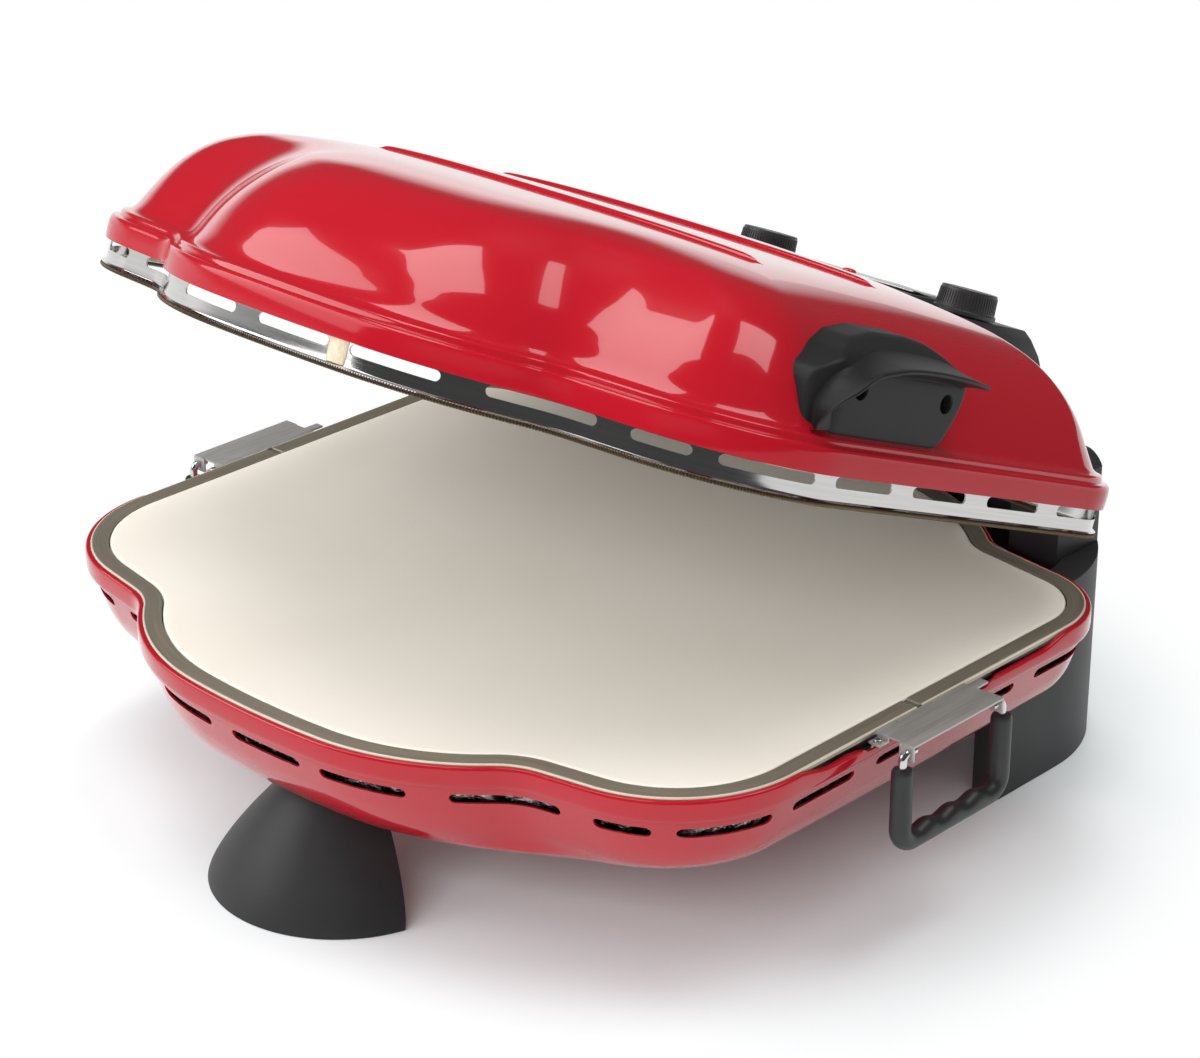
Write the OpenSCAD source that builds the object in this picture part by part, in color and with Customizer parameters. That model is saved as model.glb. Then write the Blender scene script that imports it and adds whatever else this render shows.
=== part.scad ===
/* [Baking stone] */
// Height of the stone's top face above the table
stone_top = 132; // [128:1:150]
// Half the width of the stone
stone_half_w = 260; // [250:1:270]
// Distance from the stone's middle to its front and back edges
stone_half_d = 247; // [240:1:255]
// Thickness of the stone
stone_t = 14; // [10:1:16]
// Gap around the stone in its tray
stone_gap = 1; // [0.5:0.1:1.5]

/* [Outline of the stone] */
// Radius of the bulge at the middle of the front and the back
bulge_r = 554; // [500:1:620]
// Turn of half the bulge
bulge_turn = 5.27; // [4.5:0.01:6]
// Radius of the front shoulders
front_shoulder_r = 141; // [130:1:150]
// Turn of the front shoulders
front_shoulder_turn = 39.36; // [36:0.01:42]
// Radius of the front finger notches
front_notch_r = 59; // [52:1:66]
// Turn of the front finger notches
front_notch_turn = 33.8; // [30:0.1:36]
// Radius of the front corners
front_corner_r = 74.4; // [65:0.1:80]
// Radius of the back shoulders
back_shoulder_r = 179; // [170:1:190]
// Turn of the back shoulders
back_shoulder_turn = 36.7; // [34:0.1:39]
// Radius of the back notches
back_notch_r = 37.5; // [34:0.5:46]
// Turn of the back notches
back_notch_turn = 33.6; // [30:0.1:35]
// Radius of the back corners
back_corner_r = 42; // [40:0.5:50]

/* [Rim and tray] */
// Width of the steel rim around the stone
rim_w = 11.2; // [9:0.1:11.6]
// Thickness of the rim's sheet
rim_t = 0.8; // [0.6:0.1:0.9]
// Depth of the rim's folded outer edge
rim_fold = 3; // [2:0.1:4]
// Half the gap where the two rims meet at the sides
rim_joint = 1.2; // [0.5:0.1:3]
// Thickness of the tray's sheet
tray_t = 1; // [0.8:0.1:1.2]
// How far the ledge under the stone reaches inwards
ledge_in = 12; // [8:1:16]
// Depth of the tray's floor below the stone's top face
tray_depth = 44; // [42:1:46]

/* [Casing] */
// How far the casing's lip stands out from the stone's edge
lip_out = 15; // [14:0.1:17]
// Height of the casing's lip
lip_h = 12.5; // [11:0.1:13]
// Dip of the lip along the sides
lip_dip = 5; // [3:0.1:6]
// Thickness of the casing's wall
casing_wall = 1.6; // [1.2:0.1:2]
// Depth of the casing's underside below the stone's top face
casing_depth = 72; // [70:0.5:74]
// Height of the vent slots in the casing
vent_h = 6.6; // [4:0.1:8]
// Depth of the vent slots below the stone's top face
vent_z = 23.3; // [22:0.1:24]
// Thickness of the insulation's band that shows behind the vents
foil_out = 3.6; // [2:0.1:4]
// Height of the insulation
foil_h = 16; // [12:1:18]

/* [Feet] */
// Radius of the front foot on the table
foot_r = 80; // [76:1:84]
// Radius of the front foot at its top
foot_top_r = 15; // [12:1:20]
// Distance from the stone's front edge back to the front foot's axis
foot_back = 56; // [52:1:61]
// Distance from the foot's axis to its open back, at the table
foot_cut = 24; // [20:1:28]
// Wall of the front foot
foot_wall = 4; // [3:0.1:5]
// Half the width of the rear support
support_half_w = 230; // [226:1:234]
// How far the back of the rear support stands behind the hinge axis
support_behind = 19.5; // [17:0.5:24]
// Length of the rear support from front to back
support_l = 160; // [150:1:170]
// Radius of the rear support's corners
support_r = 100; // [90:1:110]
// Wall of the rear support
support_wall = 20; // [14:1:22]
// Height of the rear support's back wall
support_h = 125; // [118:1:127]
// Thickness of the rubber pads that stand proud under the feet
pad_proud = 0.4; // [0.3:0.1:1]

/* [Hinge] */
// Distance from the stone's back edge to the lid's hinge axis
hinge_behind = 32.5; // [31:0.5:34]
// Height of the hinge axis above the stone's top face
hinge_z = 26; // [25:0.5:28]
// Diameter of the hinge pins
pin_d = 8; // [6:0.5:10]
// Radial clearance of the hinge arms on the pins
pin_clear = 0.05; // [0.03:0.01:0.1]
// Gap between each hinge arm and its tower
tower_clear = 7; // [5:0.5:9]
// Width of each hinge tower
tower_w = 37; // [34:1:40]
// Distance from the hinge axis to the front face of each tower
tower_ahead = 57.5; // [53:0.5:60]
// Radius of the towers' rounded tops
tower_r = 18; // [15:0.5:19]
// Thickness of the hinge arms
arm_t = 4; // [3:0.5:5]
// How far the lid stands open
rest_open = 22; // [18:0.5:28]

/* [Carrying bails] */
// Distance of the bails' hinge axes from the stone's sides
bail_out = 36; // [35:0.5:38]
// Depth of the bails' hinge axes below the stone's top face
bail_z = 5.5; // [5:0.1:6]
// Half the distance between the arms of a bail
bail_half = 45; // [44:0.5:48]
// Diameter of the bail's wire
wire_d = 5; // [4:0.1:5.4]
// Diameter of the grip
grip_d = 12.5; // [11:0.1:13.5]
// Depth of the grip's bar below the hinge axis
grip_drop = 55.5; // [50:0.5:60]
// Half the length of the bracket
bracket_half = 40; // [38.5:0.1:40.5]
// Thickness of the bracket's sheet
bracket_t = 1.2; // [1:0.1:1.5]

/* [Lid] */
// Height of the lid's crown above the stone's top face
crown = 117; // [114:0.5:122]
// Thickness of the lid's shell
shell_wall = 1.6; // [1.2:0.1:2]
// How far the lid's lip stands out from the stone's edge
lid_lip_out = 15.2; // [14.6:0.1:17]
// How far the steel skirt stands out from the stone's edge
skirt_out = 12; // [11:0.1:12.6]
// Thickness of the skirt's sheet
skirt_t = 1; // [0.8:0.1:1.4]
// Height of the skirt's lower edge above the stone's top face
skirt_low = 5.8; // [5:0.1:7]
// Diameter of the bead under the skirt
bead_d = 3; // [2:0.1:3.6]
// Height of the vent slots in the skirt
skirt_slot_h = 6.1; // [4:0.1:6.5]
// Half the length of the two raised ribs on the lid
rib_half = 150; // [130:1:160]
// Height of the raised ribs
rib_h = 2.5; // [2:0.5:6]

/* [Heating elements] */
// Diameter of the heating elements' tube
tube_d = 6.5; // [6:0.1:8]
// Clearance of the clips around the tube
clip_clear = 0.05; // [0.03:0.01:0.1]
// Half the width of the heating elements' loop
loop_half_w = 175; // [160:1:190]
// Half the depth of the lower element's loop
lower_half_d = 150; // [140:1:160]
// Half the depth of the upper element's loop
upper_half_d = 135; // [125:1:140]

/* [Rear pod and knobs] */
// Half the width of the pod
pod_half_w = 156; // [154:0.5:156.5]
// Height of the pod's top above the stone's top face
pod_top = 107; // [106:0.5:110]
// Wall of the pod
pod_wall = 2.5; // [2:0.1:3]
// Distance of the knobs from the middle
knob_x = 83; // [78:1:88]
// Distance from the hinge axis forwards to the dials' axes
knob_ahead = 31.5; // [29:0.5:34]
// Height of a knob
knob_h = 16.4; // [14:0.1:20]
// Diameter of a knob at its foot
knob_d = 41; // [36:0.5:42]
// Diameter of a knob at its top
knob_top_d = 35.5; // [32:0.5:38]
// Diameter of the knobs' shafts
shaft_d = 6; // [5:0.1:8]
// Radial clearance of the knobs' shafts
shaft_clear = 0.05; // [0.03:0.01:0.1]

/* [Side handle] */
// How far the side handle's face stands out from the stone's side
handle_out = 5; // [3:0.5:7]
// How far the handle's visor stands out from its face
visor_out = 20; // [16:0.5:21]
// Thickness of the visor
visor_t = 3; // [2.5:0.1:4]

/* [Hidden] */

$fn = 48;
eps = 0.01;
seat = 0.3;

// Places that follow the stone's edges
foot_y = stone_half_d - foot_back;
hinge_y = stone_half_d + hinge_behind;
tower_front = hinge_y - tower_ahead;
support_back = hinge_y + support_behind;
support_front = support_back - support_l;
knob_y = hinge_y - knob_ahead;
bail_x = stone_half_w + bail_out;
handle_x = stone_half_w + handle_out;
// Back of the pod: upright to the bend, then leaning forwards
pod_back = hinge_y + 11.5;
pod_bend = 85;
pod_lean = 0.125;
// Where the box's middle lies behind the stone's middle: the pod of the open lid or the
// rear support reaches furthest back, and the front foot furthest forwards
pod_reach = hinge_y + (pod_back - pod_lean * (pod_top - pod_bend) - hinge_y) * cos(rest_open)
    + (pod_top - hinge_z) * sin(rest_open);
mid_y = (max(support_back, pod_reach) - foot_y - foot_r) / 2;
knob_base = 102;
knob_crown = knob_base + knob_h;

// ---- The outline: points [x, y, normal x, normal y] along the stone's edge ----

function bend(p, from, turn, r, n) = [
    for (i = [0 : n - 1])
        let (a = from + turn * i / n)
        [p.x + r * (sin(a) - sin(from)), p.y + r * (cos(from) - cos(a)), sin(a), -cos(a)]
];
function bend_end(p, from, turn, r) =
    [p.x + r * (sin(from + turn) - sin(from)), p.y + r * (cos(from) - cos(from + turn))];
function quarter(shoulder_r, shoulder_turn, notch_r, notch_turn, corner_r) =
    let (
        p0 = [0, -stone_half_d],
        p1 = bend_end(p0, 0, bulge_turn, bulge_r),
        h2 = bulge_turn + shoulder_turn,
        p2 = bend_end(p1, bulge_turn, shoulder_turn, shoulder_r),
        h3 = h2 - notch_turn,
        p3 = bend_end(p2, h2, -notch_turn, -notch_r),
        run = (stone_half_w - corner_r * (1 - sin(h3)) - p3.x) / cos(h3),
        p4 = p3 + run * [cos(h3), sin(h3)],
        p5 = bend_end(p4, h3, 90 - h3, corner_r)
    )
    concat(
        bend(p0, 0, bulge_turn, bulge_r, 2),
        bend(p1, bulge_turn, shoulder_turn, shoulder_r, 6),
        bend(p2, h2, -notch_turn, -notch_r, 5),
        [[p3.x, p3.y, sin(h3), -cos(h3)]],
        bend(p4, h3, 90 - h3, corner_r, 7),
        [[p5.x, p5.y, 1, 0]]
    );
front_quarter = quarter(front_shoulder_r, front_shoulder_turn, front_notch_r,
    front_notch_turn, front_corner_r);
back_quarter = quarter(back_shoulder_r, back_shoulder_turn, back_notch_r,
    back_notch_turn, back_corner_r);
side_from = front_quarter[len(front_quarter) - 1].y;
side_to = -back_quarter[len(back_quarter) - 1].y;
side_steps = 7;
side_points = [
    for (i = [1 : side_steps - 1])
        [stone_half_w, side_from + (side_to - side_from) * i / side_steps, 1, 0]
];
right_edge = concat(
    front_quarter,
    side_points,
    [for (i = [len(back_quarter) - 1 : -1 : 0])
        let (p = back_quarter[i]) [p[0], -p[1], p[2], -p[3]]]
);
half_count = len(right_edge);
stone_edge = concat(
    right_edge,
    [for (i = [half_count - 2 : -1 : 1]) let (p = right_edge[i]) [-p[0], p[1], -p[2], p[3]]]
);
count = len(stone_edge);

// The outline moved outwards by d
function ring(d) = [for (p = stone_edge) [p[0] + d * p[2], p[1] + d * p[3]]];

// Distance along the right half of the edge, from the middle of the front
function runs(i = 1, list = [0]) =
    i == half_count ? list
    : runs(i + 1, concat(list, [list[i - 1] + norm(
        [right_edge[i].x - right_edge[i - 1].x, right_edge[i].y - right_edge[i - 1].y])]));
edge_run = runs();
function column(k) = [for (i = [0 : half_count - 1]) [edge_run[i], right_edge[i][k]]];
edge_x = column(0);
edge_y = column(1);
edge_nx = column(2);
edge_ny = column(3);
function edge_at(s, d) =
    let (a = abs(s), k = sign(s))
    [k * (lookup(a, edge_x) + d * lookup(a, edge_nx)), lookup(a, edge_y) + d * lookup(a, edge_ny)];
function edge_heading(s) = sign(s) * atan2(lookup(abs(s), edge_nx), -lookup(abs(s), edge_ny));

// ---- Lofts: each level is the outline at one height ----

// Deeper than this the outline shrinks towards the middle and its notches fade out
fade_from = -35;
fade_over = 90;
oval_power = 2.5;
function oval(p) =
    let (r = norm(p), u = p / r)
    u / pow(pow(abs(u.x) / stone_half_w, oval_power) + pow(abs(u.y) / stone_half_d, oval_power),
        1 / oval_power);
function level(d, z) =
    d >= fade_from ? [for (p = ring(d)) [p.x, p.y, z]]
    : let (
        deep = fade_from - d,
        t = min(1, deep / fade_over),
        soft = t * t * (3 - 2 * t),
        k = (stone_half_w + d) / (stone_half_w + fade_from),
        k_oval = (stone_half_w + d) / stone_half_w
    )
    [for (p = ring(fade_from))
        let (q = p * k * (1 - soft) + oval(p) * k_oval * soft) [q.x, q.y, z]];

// Closed skin over a list of levels, each running anticlockwise seen from above
module skin(levels) {
    last = len(levels) - 1;
    points = concat(
        [for (l = levels) each l],
        [[0, 0, levels[0][0].z], [0, 0, levels[last][0].z]]
    );
    bottom = count * (last + 1);
    polyhedron(
        points = points,
        faces = concat(
            [for (i = [0 : count - 1]) [i, (i + 1) % count, bottom]],
            [for (k = [0 : last - 1], i = [0 : count - 1])
                let (j = (i + 1) % count) [k * count + i, (k + 1) * count + i, (k + 1) * count + j]],
            [for (k = [0 : last - 1], i = [0 : count - 1])
                let (j = (i + 1) % count) [k * count + i, (k + 1) * count + j, k * count + j]],
            [for (i = [0 : count - 1])
                [last * count + (i + 1) % count, last * count + i, bottom + 1]]
        ),
        convexity = 8
    );
}

module plate(d, low, high) {
    translate([0, 0, low])
        linear_extrude(high - low)
            polygon(ring(d));
}
module band(outer, inner, low, high) {
    translate([0, 0, low])
        linear_extrude(high - low)
            difference() {
                polygon(ring(outer));
                polygon(ring(inner));
            }
}

// Slots that follow the outline: [middle, length] along the edge from the front's middle
slot_runs = [
    [-62, 50], [9, 54], [77, 52], [160, 68], [230, 30], [282, 50], [348, 52], [420, 52],
    [494, 53], [566, 50], [-160, 68], [-230, 30], [-282, 50], [-348, 52], [-420, 52],
    [-494, 53], [-566, 50]
];
slot_reach = 7;
// The drilled ends of a slot are a little wider than the slot between them
slot_end = 1.08;
module outline_slots(d, z, h) {
    for (slot = slot_runs) {
        from = slot[0] - slot[1] / 2 + h / 2;
        to = slot[0] + slot[1] / 2 - h / 2;
        steps = max(2, ceil(slot[1] / 14));
        along = [for (i = [0 : steps]) from + (to - from) * i / steps];
        translate([0, 0, z - h / 2])
            linear_extrude(h)
                polygon(concat(
                    [for (s = along) edge_at(s, d - slot_reach)],
                    [for (i = [steps : -1 : 0]) edge_at(along[i], d + slot_reach)]
                ));
        for (s = [from, to]) {
            p = edge_at(s, d - slot_reach);
            translate([p.x, p.y, z])
                rotate([90, 0, edge_heading(s)])
                    cylinder(d = slot_end * h, h = 2 * slot_reach, $fn = 20);
        }
    }
}

// ---- Places: base pieces use the stone's top face as their zero height ----

module on_base() {
    translate([0, -mid_y, stone_top])
        children();
}
// Lid pieces are drawn closed, and opened about the hinge
module on_lid() {
    on_base()
        translate([0, hinge_y, hinge_z])
            rotate([-rest_open, 0, 0])
                translate([0, -hinge_y, -hinge_z])
                    children();
}
module both_sides() {
    children();
    mirror([1, 0, 0])
        children();
}
module along_y(p, d, length) {
    translate(p)
        rotate([-90, 0, 0])
            cylinder(d = d, h = length);
}
module along_x(p, d, length) {
    translate(p)
        rotate([0, 90, 0])
            cylinder(d = d, h = length);
}

// ---- Casing ----

lip_low = -1 - lip_h;
// [how far out, height] of the casing's outer face, from its underside to its lip
casing_profile = [
    [-70, -casing_depth], [-33, -66.5], [-19, -62], [-10, -57], [-2, -50], [3.5, -40],
    [7.6, -28], [10.7, -18.6], [11.5, lip_low - 1], [lip_out, lip_low], [lip_out + 0.4, -7],
    [lip_out, -1]
];
side_mid = (side_from + side_to) / 2;
side_half = (side_to - side_from) / 2;
// The lip dips along the straight sides
function dip(p) =
    let (t = max(0, min(1, (side_half - abs(p.y - side_mid)) / 30)))
    abs(p.x) < stone_half_w - 1 ? 0 : lip_dip * t * t * (3 - 2 * t);
function dipped(points, share) = [for (p = points) [p.x, p.y, p.z - share * dip(p)]];
casing_top = len(casing_profile) - 1;
// Below the vents the outline's notches fade out, into a rounder belly
belly_from = 5;
belly_over = 50;
belly_long = 1.04;
belly_inner = -5;
function belly(d, z) =
    d >= belly_from ? level(d, z)
    : let (
        t = min(1, (belly_from - d) / belly_over),
        soft = t * t * (3 - 2 * t),
        k = min(1, (stone_half_w + d) / (stone_half_w + belly_inner)),
        k_x = (stone_half_w + d) / stone_half_w,
        k_y = (stone_half_d * belly_long + d) / stone_half_d
    )
    [for (p = ring(max(d, belly_inner)))
        let (o = oval(p), q = p * k * (1 - soft) + [o.x * k_x, o.y * k_y] * soft) [q.x, q.y, z]];
function casing_level(k, inset) =
    let (row = casing_profile[k])
    dipped(belly(row[0] - inset, row[1] + (k == 0 ? inset : 0)), max(0, k - casing_top + 2) / 2);
bracket_gap = [-50, 60];
bracket_gap_low = -9;

module casing_body() {
    skin(concat(
        [for (k = [0 : casing_top]) casing_level(k, 0)],
        [for (k = [casing_top : -1 : 0]) casing_level(k, casing_wall)]
    ));
}
// The casing's outside as a solid, for what is cut to sit on it
module casing_solid(grow, to = casing_top) {
    skin([for (k = [0 : to])
        belly(casing_profile[k][0] + grow, casing_profile[k][1] - (k == 0 ? grow : 0))]);
}
gland_y = support_front - 19;
gland_d = 16;
stand_off_at = [[150, 100], [-150, 100], [150, -100], [-150, -100]];
stand_off_d = 16;
screw_d = 4;
screw_head_d = 8;
screw_head_h = 2.4;
hole_clear = 0.4;

module casing() {
    color("firebrick")
        on_base()
            difference() {
                casing_body();
                outline_slots(9, -vent_z, vent_h);
                both_sides()
                    translate([stone_half_w + foil_out, bracket_gap[0], bracket_gap_low])
                        cube([30, bracket_gap[1] - bracket_gap[0], 20]);
                translate([0, gland_y, -casing_depth - 1])
                    cylinder(d = gland_d + hole_clear, h = 6);
                for (p = stand_off_at)
                    translate([p.x, p.y, -casing_depth - 1])
                        cylinder(d = screw_d + hole_clear, h = 6, $fn = 20);
            }
}

// ---- Tray, insulation and supports inside the casing ----

tray_out = stone_gap + tray_t;
flange_out = 11;
ledge_z = -stone_t;
floor_out = -ledge_in;
module lower_tray() {
    color("silver")
        on_base()
            difference() {
                union() {
                    band(flange_out, stone_gap, -rim_t - tray_t, -rim_t);
                    band(tray_out, stone_gap, ledge_z - tray_t, -rim_t);
                    band(tray_out, floor_out - tray_t, ledge_z - tray_t, ledge_z);
                    band(floor_out, floor_out - tray_t, -tray_depth, ledge_z);
                    plate(floor_out, -tray_depth - tray_t, -tray_depth);
                }
                for (side = [-1, 1])
                    along_y([side * leg_x, stone_half_d - 2 * ledge_in, lower_z], tube_d + 2 * hole_clear,
                        3 * ledge_in);
            }
}
module foil_insulation() {
    color("lightgray")
        on_base()
            difference() {
                band(foil_out, floor_out, ledge_z - tray_t - foil_h, ledge_z - tray_t);
                translate([-1.6 * leg_x, 0, -tray_depth])
                    cube([3.2 * leg_x, stone_half_d + 20, tray_depth]);
            }
}
casing_floor = -casing_depth + casing_wall;
module stand_offs() {
    color("silver")
        on_base()
            for (p = stand_off_at)
                translate([p.x, p.y, casing_floor])
                    difference() {
                        cylinder(d = stand_off_d, h = -tray_depth - tray_t - casing_floor);
                        translate([0, 0, -eps])
                            cylinder(d = screw_d + 2 * clip_clear, h = 14);
                    }
}
module casing_screws() {
    color("silver")
        on_base()
            for (p = stand_off_at)
                translate([p.x, p.y, -casing_depth]) {
                    cylinder(d = screw_d, h = 12);
                    difference() {
                        translate([0, 0, -screw_head_h])
                            cylinder(d = screw_head_d, h = screw_head_h);
                        translate([-screw_d / 2, -0.5, -screw_head_h - eps])
                            cube([screw_d, 1, 1]);
                        translate([-0.5, -screw_d / 2, -screw_head_h - eps])
                            cube([1, screw_d, 1]);
                    }
                }
}
module terminal_block() {
    color("ivory")
        on_base()
            translate([0, gland_y + 40, casing_floor])
                difference() {
                    translate([-24, -8, 0])
                        cube([48, 16, 14]);
                    for (i = [-1 : 1])
                        translate([14 * i, 0, 5])
                            cylinder(d = 5, h = 10);
                }
}
gland_bore = 7.4;
gland_flange = 4;
module cord_gland() {
    color("dimgray")
        on_base()
            translate([0, gland_y, -casing_depth])
                difference() {
                    union() {
                        translate([0, 0, -gland_flange])
                            cylinder(d = gland_d + 8, h = gland_flange);
                        translate([0, 0, -eps])
                            cylinder(d = gland_d, h = 8);
                    }
                    translate([0, 0, -gland_flange - 1])
                        cylinder(d = gland_bore, h = gland_flange + 12);
                }
}

// ---- Heating elements ----

leg_x = 20;
loop_corner_r = 60;
leg_bend_r = 15;
module tube_bend(p, from, r) {
    translate(p)
        rotate([0, 0, from])
            rotate_extrude(angle = 90)
                translate([r, 0])
                    circle(d = tube_d, $fn = 24);
}
module element(half_d, leg_to) {
    corner = [loop_half_w - loop_corner_r, half_d - loop_corner_r];
    along_x([-corner.x, -half_d, 0], tube_d, 2 * corner.x);
    for (side = [-1, 1])
        along_y([side * loop_half_w, -corner.y, 0], tube_d, 2 * corner.y);
    tube_bend([corner.x, -corner.y, 0], -90, loop_corner_r);
    tube_bend([-corner.x, -corner.y, 0], 180, loop_corner_r);
    tube_bend([corner.x, corner.y, 0], 0, loop_corner_r);
    tube_bend([-corner.x, corner.y, 0], 90, loop_corner_r);
    leg_start = leg_x + leg_bend_r;
    along_x([leg_start, half_d, 0], tube_d, corner.x - leg_start);
    along_x([-corner.x, half_d, 0], tube_d, corner.x - leg_start);
    tube_bend([leg_start, half_d + leg_bend_r, 0], 180, leg_bend_r);
    tube_bend([-leg_start, half_d + leg_bend_r, 0], -90, leg_bend_r);
    for (side = [-1, 1])
        along_y([side * leg_x, half_d + leg_bend_r, 0], tube_d, leg_to - half_d - leg_bend_r);
}
clip_w = 14;
clip_t = 3;
// A clip between the level it stands on and the tube it holds
module clips(half_d, from, to) {
    low = min(from, to);
    for (side = [-1, 1], y = [-half_d / 3, half_d / 3])
        translate([side * loop_half_w, y, 0])
            difference() {
                translate([-clip_w / 2, -clip_t / 2, low])
                    cube([clip_w, clip_t, abs(to - from)]);
                along_y([0, -clip_t, 0], tube_d + 2 * clip_clear, 2 * clip_t);
            }
    for (x = [-loop_half_w / 3, loop_half_w / 3])
        translate([x, -half_d, 0])
            difference() {
                translate([-clip_t / 2, -clip_w / 2, low])
                    cube([clip_t, clip_w, abs(to - from)]);
                along_x([-clip_t, 0, 0], tube_d + 2 * clip_clear, 2 * clip_t);
            }
}
clip_over = 3;
lower_z = -32;
module lower_element() {
    color("dimgray")
        on_base()
            translate([0, 0, lower_z])
                element(lower_half_d, stone_half_d - 4);
}
module lower_clips() {
    color("silver")
        on_base()
            translate([0, 0, lower_z])
                clips(lower_half_d, -tray_depth - lower_z, tube_d / 2 + clip_over);
}
upper_z = 50;
reflector_top = 63;
module upper_element() {
    color("dimgray")
        on_lid()
            translate([0, 0, upper_z])
                element(upper_half_d, upper_leg_to);
}
module upper_clips() {
    color("silver")
        on_lid()
            translate([0, 0, upper_z])
                clips(upper_half_d, -tube_d / 2 - clip_over, reflector_top - tray_t - upper_z);
}

// ---- Stone and rim ----

module baking_stone() {
    color("ivory")
        on_base()
            plate(0, -stone_t, 0);
}
rim_in = stone_gap - 0.2;
rim_out = rim_in + rim_w;
module rim() {
    band(rim_out, rim_in, -rim_t, 0);
    band(rim_out, rim_out - rim_t, -rim_fold, -rim_t + eps);
}
module half_plane(from, to) {
    translate([-stone_half_w - 50, from, -20])
        cube([2 * stone_half_w + 100, to - from, 40]);
}
module rim_front() {
    color("silver")
        on_base()
            intersection() {
                rim();
                half_plane(-stone_half_d - 50, -rim_joint);
            }
}
module rim_rear() {
    color("silver")
        on_base()
            intersection() {
                rim();
                half_plane(rim_joint, stone_half_d + 50);
            }
}

// ---- Bracket and bail at each side ----

bracket_in = stone_half_w + rim_out + seat;
bracket_out = bail_x + 4;
bracket_top = -0.5;
bracket_leg = 8;
ear_low = -bail_z - 4.7;
ear_at = bracket_half + 0.3;
ear_w = 10;
tab_top = -4;
tab_w = 8;
tab_l = 7;
tab_screw_y = -bracket_half - 3.4;
bracket_screw_d = 3;
module bracket() {
    difference() {
        translate([bracket_in, -bracket_half, bracket_top - bracket_t])
            cube([bracket_out - bracket_in, 2 * bracket_half, bracket_t]);
        for (y = [-24, -8, 8])
            translate([bracket_in - 1, y, bracket_top - 2 * bracket_t])
                cube([3, 2, 3 * bracket_t]);
    }
    // Leg folded down against the tray's flange
    translate([bracket_in, -bracket_half + 6, bracket_top - bracket_leg])
        cube([bracket_t, 2 * bracket_half - 12, bracket_leg - eps]);
    // Ears that carry the bail
    for (side = [-1, 1])
        difference() {
            translate([bracket_out - ear_w, side * ear_at - bracket_t / 2, ear_low])
                cube([ear_w, bracket_t, bracket_top - ear_low]);
            along_y([bail_x, side * ear_at - 2, -bail_z], wire_d + 2 * pin_clear, 4);
        }
    // Screw tab at the near end and tongue at the far end
    translate([bracket_in + 1, -bracket_half - tab_l, tab_top - bracket_t])
        difference() {
            cube([tab_w, tab_l + bracket_t, bracket_t]);
            translate([tab_w / 2, tab_screw_y + bracket_half + tab_l, -1])
                cylinder(d = bracket_screw_d + 2 * pin_clear, h = 4);
        }
    translate([bracket_in + 1, -bracket_half, tab_top - bracket_t])
        cube([tab_w, bracket_t, bracket_top - tab_top + eps]);
    translate([bracket_in + 3, bracket_half - eps, bracket_top - bracket_t])
        cube([6, 11, bracket_t]);
}
module bracket_right() {
    color("silver")
        on_base()
            bracket();
}
module bracket_left() {
    color("silver")
        on_base()
            mirror([1, 0, 0])
                bracket();
}
module bracket_screws() {
    color("silver")
        on_base()
            both_sides()
                translate([bracket_in + 1 + tab_w / 2, tab_screw_y, tab_top]) {
                    translate([0, 0, -bracket_t - 2.5])
                        cylinder(d = bracket_screw_d, h = bracket_t + 2.5 + eps);
                    difference() {
                        cylinder(d = 5.6, h = 1.6);
                        translate([-1.6, -0.4, 0.9])
                            cube([3.2, 0.8, 1]);
                        translate([-0.4, -1.6, 0.9])
                            cube([0.8, 3.2, 1]);
                    }
                }
}
bail_bend_r = 4;
grip_from = 8.5;
wire_into_grip = 10;
wire_in = 5.5;
grip_bend_r = 10;
// Drawn hanging from a hinge axis along Y through the origin
module bail_wire() {
    for (side = [-1, 1])
        mirror([0, side < 0 ? 1 : 0, 0]) {
            along_y([0, ear_at - wire_in, 0], wire_d, bail_half - bail_bend_r - ear_at + wire_in);
            translate([0, bail_half - bail_bend_r, -bail_bend_r])
                rotate([90, 0, 90])
                    rotate_extrude(angle = 90)
                        translate([bail_bend_r, 0])
                            circle(d = wire_d);
            translate([0, bail_half, -grip_from - wire_into_grip])
                cylinder(d = wire_d, h = grip_from + wire_into_grip - bail_bend_r);
        }
}
module grip() {
    difference() {
        union() {
            for (side = [-1, 1])
                mirror([0, side < 0 ? 1 : 0, 0]) {
                    translate([0, bail_half, -grip_drop + grip_bend_r])
                        cylinder(d = grip_d, h = grip_drop - grip_bend_r - grip_from);
                    translate([0, bail_half - grip_bend_r, -grip_drop + grip_bend_r])
                        rotate([-90, 0, 90])
                            rotate_extrude(angle = 90)
                                translate([grip_bend_r, 0])
                                    circle(d = grip_d);
                }
            along_y([0, -bail_half + grip_bend_r, -grip_drop], grip_d,
                2 * (bail_half - grip_bend_r));
            // Ridges between the fingers
            for (y = [-22, 0, 22])
                along_y([0, y - 4, -grip_drop + 2.2], grip_d - 2.4, 8);
        }
        for (side = [-1, 1])
            translate([0, side * bail_half, -grip_from - wire_into_grip - 1])
                cylinder(d = wire_d + 2 * pin_clear, h = wire_into_grip + 2);
    }
}
module bail_wire_right() {
    color("silver")
        on_base()
            translate([bail_x, 0, -bail_z])
                bail_wire();
}
module bail_wire_left() {
    color("silver")
        on_base()
            translate([-bail_x, 0, -bail_z])
                bail_wire();
}
module grip_right() {
    color("dimgray")
        on_base()
            translate([bail_x, 0, -bail_z])
                grip();
}
module grip_left() {
    color("dimgray")
        on_base()
            translate([-bail_x, 0, -bail_z])
                grip();
}

// ---- Feet ----

pad_low = -stone_top;
foot_low = pad_low + pad_proud;
foot_top = -52;
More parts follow.
